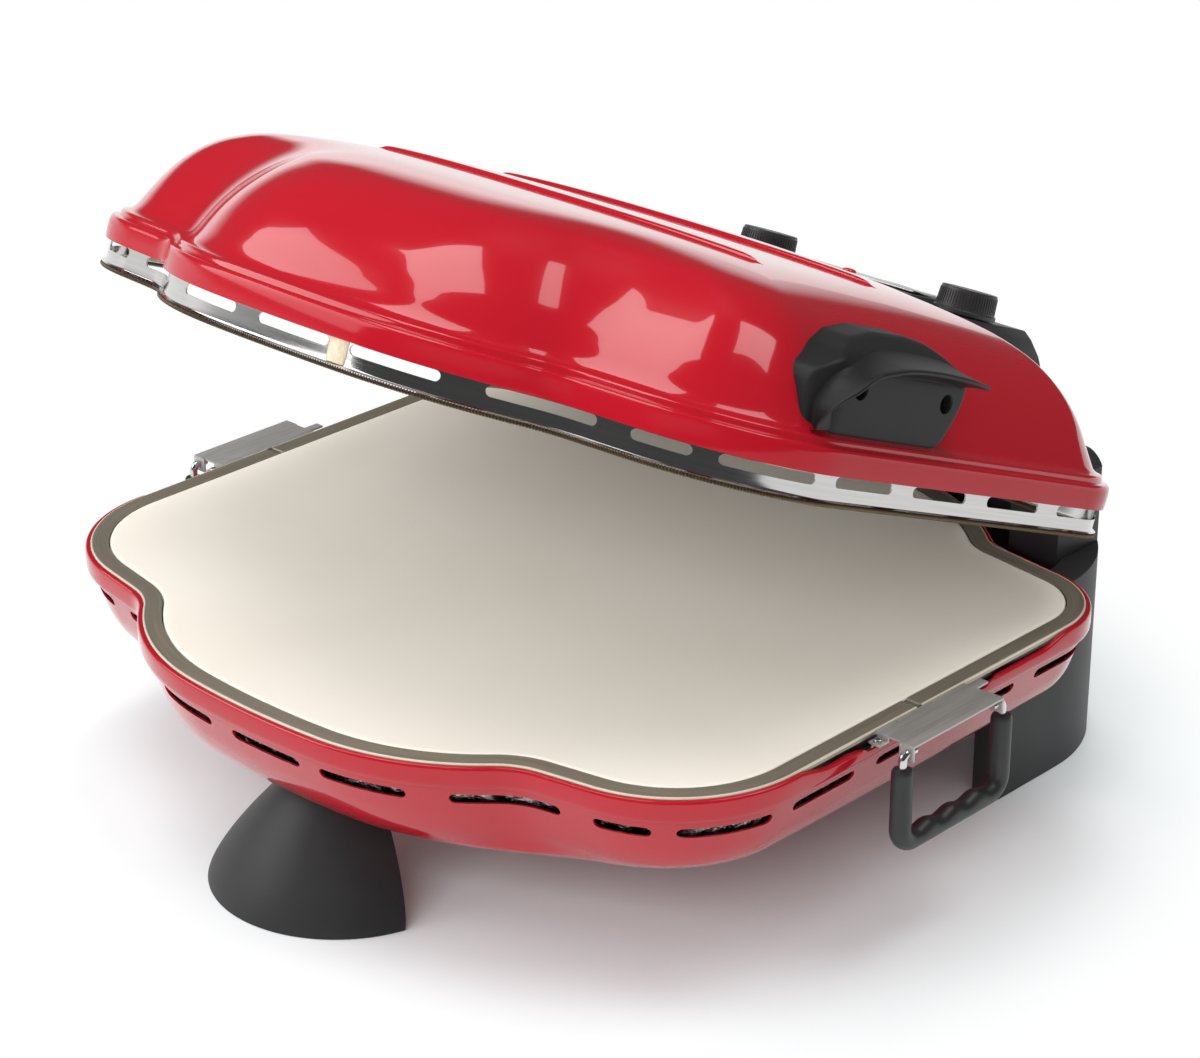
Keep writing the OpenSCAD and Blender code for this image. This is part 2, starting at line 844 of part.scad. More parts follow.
// Outer radius of the front foot at a height above the table
foot_curve = 1.25;
foot_lean = 0.4;
foot_boss_h = 6;
function foot_radius(t) = foot_top_r + (foot_r - foot_top_r) * (1 - pow(t, foot_curve));
foot_steps = 8;
foot_pad_d = 8;
foot_pad_turn = [-60, 0, 60];
foot_pad_r = foot_r - foot_wall - 5;
function foot_wall_profile(inset) = [
    for (i = [0 : foot_steps])
        [foot_radius(i / foot_steps) - inset, foot_low + (foot_top - foot_low) * i / foot_steps]
];
module front_foot() {
    color("dimgray")
        on_base()
            difference() {
                translate([0, -foot_y, 0])
                    difference() {
                        union() {
                            rotate_extrude($fn = 72)
                                polygon(concat(
                                    foot_wall_profile(0),
                                    [for (i = [foot_steps : -1 : 0]) foot_wall_profile(foot_wall)[i]]
                                ));
                            for (a = foot_pad_turn)
                                rotate([0, 0, a])
                                    translate([0, -foot_pad_r, foot_low])
                                        cylinder(d = foot_pad_d + 4, h = foot_boss_h, $fn = 24);
                        }
                        for (a = foot_pad_turn)
                            rotate([0, 0, a])
                                translate([0, -foot_pad_r, foot_low - 1])
                                    cylinder(d = foot_pad_d + hole_clear, h = pad_t + 1 - pad_proud,
                                        $fn = 24);
                        rotate([90, 0, 90])
                            translate([0, 0, -foot_r - 1])
                                linear_extrude(2 * foot_r + 2)
                                    polygon([
                                        [-foot_cut - foot_lean, foot_low - 1], [2 * foot_r, foot_low - 1],
                                        [2 * foot_r, foot_top + 1],
                                        [foot_lean * (foot_top + 1 - foot_low) - foot_cut, foot_top + 1]
                                    ]);
                    }
                casing_solid(seat, 6);
            }
}
// A block open towards the front, with its two rear corners rounded
module rounded_u(half_w, back, r) {
    translate([-half_w, 0])
        square([2 * half_w, back - r]);
    translate([-half_w + r, 0])
        square([2 * (half_w - r), back]);
    for (side = [-1, 1])
        translate([side * (half_w - r), back - r])
            circle(r = r, $fn = 96);
}
module support_ring(inset) {
    inner = support_wall - inset;
    difference() {
        rounded_u(support_half_w - inset, support_back - inset, support_r - inset);
        rounded_u(support_half_w - inner, support_back - inner, support_r - inner);
        translate([-support_half_w - 1, 0])
            square([2 * support_half_w + 2, support_front + inset]);
    }
}
support_top = support_h - stone_top;
support_skin = 3;
support_roof = -casing_depth - 2 * support_skin;
support_pad_at = [
    [support_half_w - support_wall / 2, support_front + 20],
    [support_half_w - support_r, support_back - support_wall / 2]
];
tower_gap = 0.2;
module rear_support() {
    color("dimgray")
        on_base()
            difference() {
                difference() {
                    translate([0, 0, foot_low])
                        linear_extrude(support_top - foot_low)
                            support_ring(0);
                    // Hollow under its top, with a boss over each pad
                    difference() {
                        translate([0, 0, foot_low - 1])
                            linear_extrude(support_roof - foot_low + 1)
                                support_ring(support_skin);
                        for (p = support_pad_at)
                            both_sides()
                                translate([p.x, p.y, foot_low - 1])
                                    cylinder(d = pad_d + 4, h = 30, $fn = 24);
                    }
                    for (p = support_pad_at)
                        both_sides()
                            translate([p.x, p.y, foot_low - 1])
                                cylinder(d = pad_d + hole_clear, h = pad_t + 1 - pad_proud, $fn = 24);
                }
                casing_solid(seat);
                both_sides()
                    translate([tower_in - tower_gap, tower_front - 20, tower_low - tower_gap])
                        cube([tower_out - tower_in + 2 * tower_gap, 120, 200]);
            }
}
tower_low = -40;
tower_top = hinge_z + tower_r;
module hinge_tower() {
    difference() {
        intersection() {
            union() {
                translate([tower_in, tower_front, tower_low])
                    cube([tower_out - tower_in, hinge_y - tower_front, tower_top - tower_low]);
                translate([tower_in, hinge_y - eps, tower_low])
                    cube([tower_out - tower_in, tower_r + eps, hinge_z - tower_low]);
                along_x([tower_in, hinge_y, hinge_z], 2 * tower_r, tower_out - tower_in);
            }
            // Flush with the support below
            translate([0, 0, tower_low - 1])
                linear_extrude(tower_top - tower_low + 2)
                    rounded_u(support_half_w, support_back, support_r);
        }
        along_x([tower_in - 1, hinge_y, hinge_z], pin_d + 2 * pin_clear, pin_in_tower + 1.5);
    }
}
module hinge_tower_right() {
    color("dimgray")
        on_base()
            hinge_tower();
}
module hinge_tower_left() {
    color("dimgray")
        on_base()
            mirror([1, 0, 0])
                hinge_tower();
}
pin_in_tower = 10;
arm_in = pod_half_w + 1;
tower_in = arm_in + arm_t + tower_clear;
tower_out = tower_in + tower_w;
pin_from = arm_in - 0.5;
module hinge_pins() {
    color("silver")
        on_base()
            both_sides()
                along_x([pin_from, hinge_y, hinge_z], pin_d, tower_in + pin_in_tower - pin_from);
}
pad_d = 14;
pad_t = 4;
module foot_pads() {
    color("black")
        on_base() {
            for (a = foot_pad_turn)
                translate([0, -foot_y, pad_low])
                    rotate([0, 0, a])
                        translate([0, -foot_pad_r, 0])
                            cylinder(d = foot_pad_d, h = pad_t);
            both_sides()
                for (p = support_pad_at)
                    translate([p.x, p.y, pad_low])
                        cylinder(d = pad_d, h = pad_t);
        }
}

// ---- Lid ----

// [how far out at the front, height, how far out at the back] of the lid's outer face, from
// its lip to its crown
lid_profile = [
    [lid_lip_out, 20.3, lid_lip_out], [lid_lip_out + 0.4, 27, lid_lip_out + 0.4],
    [lid_lip_out, 33, lid_lip_out], [lid_lip_out - 1.6, 34.6, lid_lip_out - 1.6],
    [10.2, 35, 10.2], [9.4, 38.8, 9.4], [4.5, 40, 4.5], [0.3, 46, 0], [-3.5, 54, -5.5],
    [-8.8, 64, -13], [-17, 76, -25], [-28.5, 88, -39], [-42, 98, -54], [-60, 106, -74],
    [-96, crown - 5, -105], [-145, crown - 2, -150]
];
// The same for its inner face, before the wall is taken off
lid_inner = [
    [lid_lip_out, 20.2, lid_lip_out], [lid_lip_out, 33, lid_lip_out], [9.4, 33.6, 9.4],
    [4.5, 38.6, 4.5], [0.3, 44.8, 0], [-8.8, 62.6, -13], [-28.5, 86.4, -39],
    [-60, 104.4, -74], [-96, crown - 6.6, -105], [-145, crown - 3.6, -150]
];
// One ring of the lid: the row's front and back places mixed from front to back
function lid_ring(row, grow, rise) =
    let (
        fore = level(row[0] + grow, row[1] + rise),
        aft = level(row[2] + grow, row[1] + rise)
    )
    [for (i = [0 : count - 1])
        let (k = (stone_edge[i].y + stone_half_d) / (2 * stone_half_d)) fore[i] * (1 - k) + aft[i] * k];
// Solid form of the lid's outside between two rows of its profile
module lid_solid(grow, from = 0, to = len(lid_profile) - 1) {
    skin([for (k = [from : to])
        lid_ring(lid_profile[k], grow, grow * (lid_profile[k][1] > 90 ? 1 : 0))]);
}
rib_at = [-62, 48];
rib_half_w = 17;
rib_from = 11;
module ribs() {
    r = (rib_half * rib_half + rib_half_w * rib_half_w) / (2 * rib_half_w);
    intersection() {
        translate([0, 0, rib_h])
            lid_solid(0, rib_from);
        for (y = rib_at)
            translate([0, y, crown - 30])
                linear_extrude(60)
                    intersection() {
                        translate([0, r - rib_half_w])
                            circle(r = r, $fn = 120);
                        translate([0, rib_half_w - r])
                            circle(r = r, $fn = 120);
                    }
    }
}
module lid_shell() {
    color("firebrick")
        on_lid()
            difference() {
                union() {
                    lid_solid(0);
                    ribs();
                }
                skin([for (row = lid_inner) lid_ring(row, -shell_wall, 0)]);
                for (y = handle_screw_y)
                    along_x([stone_half_w - 60, y, handle_screw_z],
                        handle_screw_d + 2 * hole_clear, 80);
            }
}
skirt_top = 32.7;
module lid_skirt() {
    color("silver")
        on_lid()
            difference() {
                union() {
                    band(skirt_out, skirt_out - skirt_t, skirt_low, skirt_top);
                    band(skirt_out + 1.4, skirt_out - skirt_t, skirt_top - skirt_t, skirt_top);
                    band(lid_lip_out - 0.6, skirt_out - skirt_t, skirt_low, skirt_low + 0.8);
                }
                outline_slots(skirt_out, skirt_slot_z, skirt_slot_h);
            }
}
skirt_slot_z = 16.7;
module lid_bead() {
    color("darkgoldenrod")
        on_lid()
            band(lid_lip_out - 0.4, lid_lip_out - 0.4 - bead_d, skirt_low - bead_d, skirt_low);
}
clip_run = 43;
module lid_clip() {
    color("tan")
        on_lid() {
            p = edge_at(clip_run, skirt_out + pin_clear);
            translate([p.x, p.y, skirt_low + 0.8])
                difference() {
                    cylinder(d = 5, h = 13);
                    rotate([0, 0, edge_heading(clip_run)])
                        translate([-5, 0, -1])
                            cube([10, 5, 20]);
                }
        }
}
reflector_in = -30;
upper_leg_to = 226;
reflector_low = 24;
module lid_reflector() {
    color("silver")
        on_lid()
            difference() {
                union() {
                    band(skirt_out - skirt_t - seat, reflector_in, reflector_low,
                        reflector_low + tray_t);
                    band(reflector_in + tray_t, reflector_in, reflector_low, reflector_top);
                    plate(reflector_in + tray_t, reflector_top - tray_t, reflector_top);
                }
                for (side = [-1, 1])
                    along_y([side * leg_x, stone_half_d + reflector_in - 8, upper_z],
                        tube_d + 2 * hole_clear, 20);
            }
}

// ---- Side handle: a block on the dome with a visor over the fingers ----

handle_screw_d = 4;
handle_screw_y = [-95, -15];
handle_screw_z = 66;
handle_face = [
    [-140, 39], [-143, 72], [-120, 88], [-95, 96.5], [-62, 100.5], [-22, 100.5], [2, 96],
    [12, 86], [12, 69], [0, 47], [-18, 39]
];
// Side view of the block, out from the dome: upright face, then sloping back
handle_root = handle_x - 65;
handle_side = [
    [handle_root, 38], [handle_x, 38], [handle_x, 80], [handle_x - 8, 89],
    [handle_x - 28, 101], [handle_root, 103]
];
// Where the visor leaves the face, and its free edge: [out, along, height]
visor_root = [
    [-1, -121, 43], [-1, -123, 58], [-1, -117, 74], [-1, -103, 82], [-1, -82, 86.5],
    [-1, -60, 88], [-1, -30, 88], [-1, -3, 86]
];
visor_edge = [
    [0.1, -128, 43], [0.35, -128, 50], [0.8, -121, 66], [0.95, -109, 77], [1, -90, 82],
    [1, -72, 84], [1, -49, 84], [0.8, -2, 82]
];
module visor() {
    n = len(visor_root);
    root_x = handle_x - 6;
    // Four corners of each section: root above, edge above, edge below, root below
    sections = [
        for (i = [0 : n - 1])
            let (
                a = visor_root[i],
                b = visor_edge[i],
                j = min(i + 1, n - 1),
                k = max(i - 1, 0),
                along = [visor_root[j][1] - visor_root[k][1], visor_root[j][2] - visor_root[k][2]],
                inward = [along.y, -along.x] / norm(along) * visor_t
            )
            [
                [root_x, a[1], a[2]],
                [handle_x + b[0] * visor_out, b[1], b[2]],
                [handle_x + b[0] * visor_out, b[1] + inward.x, b[2] + inward.y],
                [root_x, a[1] + inward.x, a[2] + inward.y]
            ]
    ];
    points = [for (s = sections) each s];
    polyhedron(
        points = points,
        faces = concat(
            [[0, 1, 2, 3]],
            [for (i = [0 : n - 2], k = [0 : 3])
                let (m = (k + 1) % 4) [4 * i + k, 4 * (i + 1) + k, 4 * (i + 1) + m]],
            [for (i = [0 : n - 2], k = [0 : 3])
                let (m = (k + 1) % 4) [4 * i + k, 4 * (i + 1) + m, 4 * i + m]],
            [[4 * n - 1, 4 * n - 2, 4 * n - 3, 4 * n - 4]]
        )
    );
}
screw_pocket_d = 10;
screw_pocket = 12;
module side_handle() {
    color("dimgray")
        on_lid()
            difference() {
                union() {
                    intersection() {
                        rotate([90, 0, 90])
                            linear_extrude(handle_x + 1)
                                polygon(handle_face);
                        translate([0, 50, 0])
                            rotate([90, 0, 0])
                                linear_extrude(250)
                                    polygon(handle_side);
                    }
                    visor();
                }
                lid_solid(seat, 3, 13);
                for (y = handle_screw_y) {
                    along_x([handle_root, y, handle_screw_z], handle_screw_d + 2 * clip_clear, 80);
                    along_x([handle_x - screw_pocket, y, handle_screw_z], screw_pocket_d, 60);
                }
            }
}
screw_root = handle_x - 31;
module handle_screws() {
    color("silver")
        on_lid()
            for (y = handle_screw_y)
                difference() {
                    union() {
                        along_x([screw_root, y, handle_screw_z], handle_screw_d,
                            handle_x - screw_pocket - screw_root);
                        along_x([handle_x - screw_pocket, y, handle_screw_z], 8, 3);
                    }
                    translate([handle_x - screw_pocket + 2, y, handle_screw_z]) {
                        translate([0, -0.5, -2])
                            cube([4, 1, 4]);
                        translate([0, -2, -0.5])
                            cube([4, 4, 1]);
                    }
                }
}

// ---- Rear pod with its controls ----

pod_deck = 101.3;
deck_in = 58;
deck_out = 104.5;
pod_arch = [
    [0, pod_top], [deck_in, pod_top - 1], [deck_in + 4, pod_deck], [deck_out, pod_deck],
    [deck_out + 6, 97], [deck_out + 14, 88], [deck_out + 22, 74], [pod_half_w - 14, 62], [pod_half_w, 57]
];
pod_low = 14;
pod_crest = 150;
pod_front = hinge_y - 89.5;
module pod_side(inset) {
    polygon([
        [pod_front, pod_crest],
        [pod_front, 60],
        [hinge_y - 14 + inset, pod_low + inset],
        [pod_back - inset, pod_low + inset],
        [pod_back - inset, pod_bend],
        [pod_back - pod_lean * (pod_crest - pod_bend) - inset, pod_crest]
    ]);
}
module pod_form(inset) {
    w = pod_half_w - inset;
    intersection() {
        translate([-w, 0, 0])
            rotate([90, 0, 90])
                linear_extrude(2 * w)
                    pod_side(inset);
        translate([0, pod_back + 10, -inset])
            rotate([90, 0, 0])
                linear_extrude(pod_back + 20 - pod_front)
                    polygon(concat(
                        [[-pod_half_w, 0]],
                        [for (i = [len(pod_arch) - 1 : -1 : 1]) [-pod_arch[i].x, pod_arch[i].y]],
                        pod_arch,
                        [[pod_half_w, 0]]
                    ));
    }
}
module pod_cover() {
    color("dimgray")
        on_lid()
            difference() {
                pod_form(0);
                pod_form(pod_wall);
                lid_solid(seat, 0, 13);
                plate(lid_lip_out + seat, skirt_low, skirt_top - 10);
                for (side = [-1, 1])
                    translate([side * knob_x, knob_y, 50])
                        cylinder(d = shaft_d + 2 * hole_clear, h = 80, $fn = 24);
                translate([lamp_x, knob_y - 6, 50])
                    cylinder(d = lamp_d + 2 * hole_clear, h = 80, $fn = 24);
                along_x([-tower_in, hinge_y, hinge_z], pin_d + 4, 2 * tower_in);
            }
}
plate_half_w = 52;
plate_l = 30;
plate_front = knob_y - 16;
plate_t = 1;
lamp_x = -8;
lamp_d = 10;
module control_plate() {
    color("silver")
        on_lid()
            difference() {
                translate([-plate_half_w, plate_front, pod_top])
                    cube([2 * plate_half_w, plate_l, plate_t]);
                translate([lamp_x, knob_y - 6, pod_top - 1])
                    cylinder(d = lamp_d + 2 * clip_clear, h = 4);
            }
}
lamp_lens_low = 101;
module lamp_lens() {
    color("red")
        on_lid()
            translate([lamp_x, knob_y - 6, lamp_lens_low]) {
                cylinder(d = lamp_d, h = pod_top + plate_t + 1 - lamp_lens_low);
                translate([0, 0, pod_top + plate_t + 1 - lamp_lens_low])
                    cylinder(d1 = lamp_d, d2 = lamp_d - 4, h = 1.2);
            }
}
module lamp_body() {
    color("ivory")
        on_lid()
            translate([lamp_x, knob_y - 6, lamp_lens_low - 14])
                cylinder(d = lamp_d, h = 14);
}
thermostat_w = 30;
thermostat_h = 22;
thermostat_top = pod_deck - pod_wall - seat;
module thermostats() {
    color("silver")
        on_lid()
            for (side = [-1, 1])
                translate([side * knob_x, knob_y, thermostat_top - thermostat_h])
                    difference() {
                        translate([-thermostat_w / 2, -thermostat_w / 2 + 3, 0])
                            cube([thermostat_w, thermostat_w, thermostat_h]);
                        translate([0, 0, 2])
                            cylinder(d = shaft_d + 2 * shaft_clear, h = thermostat_h);
                    }
}
shaft_low = thermostat_top - thermostat_h + 3;
shaft_high = knob_crown - 5;
module shaft(side) {
    color("silver")
        on_lid()
            translate([side * knob_x, knob_y, shaft_low])
                cylinder(d = shaft_d, h = shaft_high - shaft_low);
}
module shaft_left() {
    shaft(-1);
}
module shaft_right() {
    shaft(1);
}
module knob(side) {
    color("dimgray")
        on_lid()
            translate([side * knob_x, knob_y, knob_base])
                difference() {
                    rotate_extrude()
                        polygon([
                            [0, 0], [knob_d / 2, 0], [knob_d / 2, 3], [knob_d / 2 - 1.2, 3.6],
                            [knob_top_d / 2 + 0.4, knob_h - 1.2], [knob_top_d / 2 - 0.8, knob_h],
                            [0, knob_h]
                        ]);
                    translate([0, 0, -1])
                        cylinder(d = shaft_d + 2 * shaft_clear, h = shaft_high - knob_base + 1.2);
                }
}
module knob_left() {
    knob(-1);
}
module knob_right() {
    knob(1);
}

// ---- Hinge arms on the pod's sides ----

arm_front = hinge_y - 63.5;
arm_r = 11;
arm_screw_d = 4;
arm_screw_at = [[arm_front + 10, 44], [arm_front + 34, 44]];
module hinge_arm() {
    difference() {
        union() {
            along_x([arm_in, hinge_y, hinge_z], 2 * arm_r, arm_t);
            rotate([90, 0, 90])
                translate([0, 0, arm_in])
                    linear_extrude(arm_t)
                        polygon([
                            [hinge_y + arm_r * sin(30), hinge_z + arm_r * cos(30)],
                            [arm_front + 4, 56],
                            [arm_front, 50],
                            [arm_front, 38],
                            [arm_front + 10, 34],
                            [hinge_y - arm_r * sin(20), hinge_z - arm_r * cos(20)]
                        ]);
        }
        along_x([arm_in - 1, hinge_y, hinge_z], pin_d + 2 * pin_clear, arm_t + 2);
        for (p = arm_screw_at)
            along_x([arm_in - 1, p.x, p.y], arm_screw_d + 2 * clip_clear, arm_t + 2);
    }
}
module hinge_arm_right() {
    color("gray")
        on_lid()
            hinge_arm();
}
module hinge_arm_left() {
    color("gray")
        on_lid()
            mirror([1, 0, 0])
                hinge_arm();
}
module hinge_screws() {
    color("silver")
        on_lid()
            both_sides()
                for (p = arm_screw_at) {
                    along_x([pod_half_w + seat, p.x, p.y], arm_screw_d, arm_t + arm_in - pod_half_w);
                    along_x([arm_in + arm_t, p.x, p.y], 7, 1.6);
                }
}

casing();
foil_insulation();
lower_tray();
stand_offs();
lower_element();
lower_clips();
baking_stone();
rim_front();
rim_rear();
bracket_left();
bracket_right();
bracket_screws();
front_foot();
rear_support();
hinge_tower_left();
hinge_tower_right();
foot_pads();
hinge_pins();
terminal_block();
cord_gland();
casing_screws();
bail_wire_left();
bail_wire_right();
grip_left();
grip_right();
lid_shell();
lid_skirt();
lid_bead();
lid_clip();
lid_reflector();
upper_element();
upper_clips();
side_handle();
handle_screws();
pod_cover();
control_plate();
lamp_lens();
lamp_body();
thermostats();
hinge_arm_left();
hinge_arm_right();
hinge_screws();
knob_left();
knob_right();
shaft_left();
shaft_right();
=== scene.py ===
"""Dresses the electric pizza maker: every piece in the order in which it is put together."""
from math import acos, ceil, cos, degrees, dist, exp, hypot, log, pi, radians, sin, sqrt

import bmesh
import bpy
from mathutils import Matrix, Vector
from mathutils.bvhtree import BVHTree
from mathutils.geometry import delaunay_2d_cdt


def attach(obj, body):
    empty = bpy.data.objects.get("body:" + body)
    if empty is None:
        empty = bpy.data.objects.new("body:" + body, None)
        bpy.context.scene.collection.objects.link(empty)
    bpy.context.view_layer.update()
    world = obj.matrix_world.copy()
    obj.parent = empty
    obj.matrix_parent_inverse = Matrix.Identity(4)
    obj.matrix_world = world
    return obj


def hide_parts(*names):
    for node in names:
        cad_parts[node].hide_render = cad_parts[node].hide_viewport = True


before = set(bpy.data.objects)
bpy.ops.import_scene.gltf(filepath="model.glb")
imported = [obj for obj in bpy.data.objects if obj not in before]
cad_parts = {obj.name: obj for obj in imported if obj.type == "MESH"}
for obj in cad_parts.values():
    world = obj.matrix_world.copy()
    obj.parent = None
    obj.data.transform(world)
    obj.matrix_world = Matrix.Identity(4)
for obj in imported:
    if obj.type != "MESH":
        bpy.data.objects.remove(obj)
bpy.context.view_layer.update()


# ---- Camera, table and studio light ----
# A pale table top in an all-white studio, lit by large soft boxes.
# The camera stands at the front right, a little above the open lid.
def placed(name, data):
    """A new object in the scene."""
    thing = bpy.data.objects.new(name, data)
    bpy.context.collection.objects.link(thing)
    return thing


camera_data = bpy.data.cameras.new("camera")
camera_data.lens = 101.0
camera_data.sensor_width = 36.0
camera_data.clip_end = 50.0
camera = placed("camera", camera_data)
camera.location = (1.2868, -1.3711, 0.9949)
camera.rotation_euler = (radians(65.78), 0, radians(43.07))
bpy.context.scene.camera = camera
bpy.context.scene.view_settings.view_transform = "Standard"


def fed(node, inputs):
    """Gives each of a node's inputs a value, or the socket or the node that feeds it."""
    for key, value in inputs.items():
        if isinstance(value, bpy.types.Node):
            value = value.outputs[0]
        if isinstance(value, bpy.types.NodeSocket):
            node.id_data.links.new(value, node.inputs[key])
        else:
            node.inputs[key].default_value = value
    return node


def made(tree, kind, inputs=None, **settings):
    """A new node with its settings and inputs."""
    node = tree.nodes.new(kind)
    for key, value in settings.items():
        setattr(node, key, value)
    return fed(node, inputs or {})


def reckoned(tree, how, a, b):
    """One sum on two values."""
    return made(tree, "ShaderNodeMath", {0: a, 1: b}, operation=how)


def ranged(tree, value, start, end, first=0.0, last=1.0, kind="LINEAR"):
    """Runs from first to last as value goes from start to end."""
    spread = {"Value": value, "From Min": start, "From Max": end, "To Min": first, "To Max": last}
    return made(tree, "ShaderNodeMapRange", spread, interpolation_type=kind)


def blended(tree, share, first, second):
    """The first shader where share is 0, and the second where it is 1."""
    return made(tree, "ShaderNodeMixShader", {"Fac": share, 1: first, 2: second})


def shader_of(material):
    """A material's Principled shader."""
    return material.node_tree.nodes["Principled BSDF"]


def surface(name, colour, roughness, metallic=0.0, more=None):
    """A new material; more are values for its shader's other inputs."""
    material = bpy.data.materials.new(name)
    material.use_nodes = True
    fed(shader_of(material), {
        "Base Color": (*colour, 1), "Roughness": roughness, "Metallic": metallic, **(more or {})})
    return material


def noise(material, scale, detail=3.0, stretch=(1, 1, 1), source="Object"):
    """A noise over the piece, in cells of about 1 / scale metres, stretched where asked."""
    tree = material.node_tree
    place = made(tree, "ShaderNodeTexCoord").outputs[source]
    mapped = made(tree, "ShaderNodeMapping", {"Vector": place, "Scale": stretch})
    return made(tree, "ShaderNodeTexNoise", {"Vector": mapped, "Scale": scale, "Detail": detail})


def tinted(material, value, dark, light, low=0.3, high=0.7):
    """The surface's colour runs from dark to light as value goes from low to high."""
    ramp = made(material.node_tree, "ShaderNodeValToRGB", {"Fac": value})
    for mark, position, colour in zip(ramp.color_ramp.elements, (low, high), (dark, light)):
        mark.position = position
        mark.color = (*colour, 1)
    fed(shader_of(material), {"Base Color": ramp})


def worn(material, value, smooth, rough):
    """The roughness runs from smooth to rough as value goes from 0 to 1."""
    fed(shader_of(material), {"Roughness": ranged(material.node_tree, value, 0, 1, smooth, rough)})


def grained(material, value, strength, depth):
    """Raises the surface by value, depth metres high at the most."""
    bump = {"Height": value, "Strength": strength, "Distance": depth}
    fed(shader_of(material), {"Normal": made(material.node_tree, "ShaderNodeBump", bump)})


def mottled(name, colour, roughness, cells, dark, light, grain=None, metallic=0.0, more=None):
    """A material that wanders from dark to light over noise cells, with a grain where asked.

    A grain is [cells per metre, strength, depth]."""
    material = surface(name, colour, roughness, metallic, more)
    tinted(material, noise(material, *cells), dark, light)
    if grain:
        grained(material, noise(material, grain[0], 2), *grain[1:])
    return material


table_half, paint_r, white_r = 9.0, 0.27, 0.46
table_corners = [(x * table_half, y * table_half, 0) for x, y in ((-1, -1), (1, -1), (1, 1), (-1, 1))]
table_mesh = bpy.data.meshes.new("table_top")
table_mesh.from_pydata(table_corners, [], [(0, 1, 2, 3)])
table_top = placed("table_top", table_mesh)
# The table's pale blue-grey is a painted shade tint: it shows only in the shadow under the machine, where
# it offsets the red light bounced off the casing
table_paint = mottled("table_paint", (0.830, 0.888, 0.895), 0.6, (40,),
                      (0.825, 0.883, 0.890), (0.835, 0.893, 0.900))
table_mesh.materials.append(table_paint)
# Away from the pizza maker the table's painted shade tint passes into the studio's white
paint = table_paint.node_tree
table_place = made(paint, "ShaderNodeTexCoord").outputs["Object"]
table_reach = made(paint, "ShaderNodeVectorMath", {0: table_place}, operation="LENGTH").outputs["Value"]
table_fade = ranged(paint, table_reach, paint_r, white_r, kind="SMOOTHSTEP")
ray = made(paint, "ShaderNodeLightPath").outputs
table_seen = reckoned(paint, "MAXIMUM", ray["Is Camera Ray"], ray["Is Glossy Ray"])
table_share = reckoned(paint, "MULTIPLY", table_fade, table_seen)
table_mix = blended(paint, table_share, shader_of(table_paint), made(paint, "ShaderNodeEmission"))
fed(paint.nodes["Material Output"], {"Surface": table_mix})

studio = bpy.data.worlds.new("studio")
bpy.context.scene.world = studio
studio.use_nodes = True
sky = studio.node_tree
sky.nodes.clear()
room_dark, room_bright, room_fill, room_white = 0.07, 1.1, 0.52, 1.0
# Reflections show a dim room with a low white band on its left
sky_place = made(sky, "ShaderNodeTexCoord").outputs["Generated"]
sky_way = made(sky, "ShaderNodeSeparateXYZ", {"Vector": sky_place}).outputs
sky_band = reckoned(sky, "MULTIPLY", ranged(sky, sky_way["Z"], 0.03, 0.20, 1.0, 0.0),
                    ranged(sky, sky_way["X"], -0.40, -0.65))
sky_mirror, sky_fill, sky_white = (
    made(sky, "ShaderNodeBackground", {"Color": (1, 1, 1, 1), "Strength": strength})
    for strength in (ranged(sky, sky_band, 0, 1, room_dark, room_bright), room_fill, room_white))
ray = made(sky, "ShaderNodeLightPath").outputs
sky_lit = blended(sky, ray["Is Glossy Ray"], sky_fill, sky_mirror)
sky_seen = reckoned(sky, "MAXIMUM", ray["Is Camera Ray"], ray["Is Transmission Ray"])
made(sky, "ShaderNodeOutputWorld", {"Surface": blended(sky, sky_seen, sky_lit, sky_white)})


def soft_box(name, azimuth, elevation, distance, width, height, power, mirrored=True):
    """A lamp aimed at the pizza maker from a direction seen from the table's middle."""
    data = bpy.data.lights.new(name, "AREA")
    data.shape = "RECTANGLE"
    data.size = width
    data.size_y = height
    data.energy = power
    turn, rise = radians(azimuth), radians(elevation)
    away = Vector((sin(turn) * cos(rise), -cos(turn) * cos(rise), sin(rise)))
    lamp = placed(name, data)
    lamp.location = Vector((0, 0, 0.2)) + away * distance
    lamp.rotation_euler = away.to_track_quat("Z", "Y").to_euler()
    lamp.visible_glossy = mirrored


soft_box("box_left", -50, 32, 2.4, 2.0, 1.4, 27)
soft_box("box_front", 22, 26, 2.6, 2.2, 1.1, 37, False)
soft_box("box_key", -150, 66, 2.4, 0.7, 0.7, 16, False)
soft_box("box_right", 128, 62, 2.3, 1.1, 1.1, 13)
soft_box("box_top", -50, 72, 2.2, 1.2, 1.0, 15)

# ---- Baking stone ----
# One cream slab of fired cordierite, cut to the outline that the whole machine follows.
# It lies loose in the tray, its top just level with the steel rim.
stone_top, stone_h, mid_y = 132.0, 14.0, 23.478
half_w, half_d = 260.0, 247.0
# Depths inside the edge: the outline is moved in plainly down to the first, passes into one shrunk
# to the middle by the second, and has lost its notches after the third as well
plain_in, shrunk_in, fade_in = 5.0, 35.0, 90.0
# The power that rounds the oval, and the most the edge turns between two stops
oval_power, turn_step = 2.5, radians(4)


def on_base(x, y, z):
    """A place drawn in mm from the stone's top face, in the row's frame."""
    return (x / 1000, (y - mid_y) / 1000, (z + stone_top) / 1000)


def onwards(x, y, heading, length, curve):
    """Where a run of one curvature that starts at x, y ends, with its heading there."""
    end = heading + curve * length
    if curve:
        return (x + (sin(end) - sin(heading)) / curve,
                y + (cos(heading) - cos(end)) / curve, end)
    return x + length * cos(heading), y + length * sin(heading), end


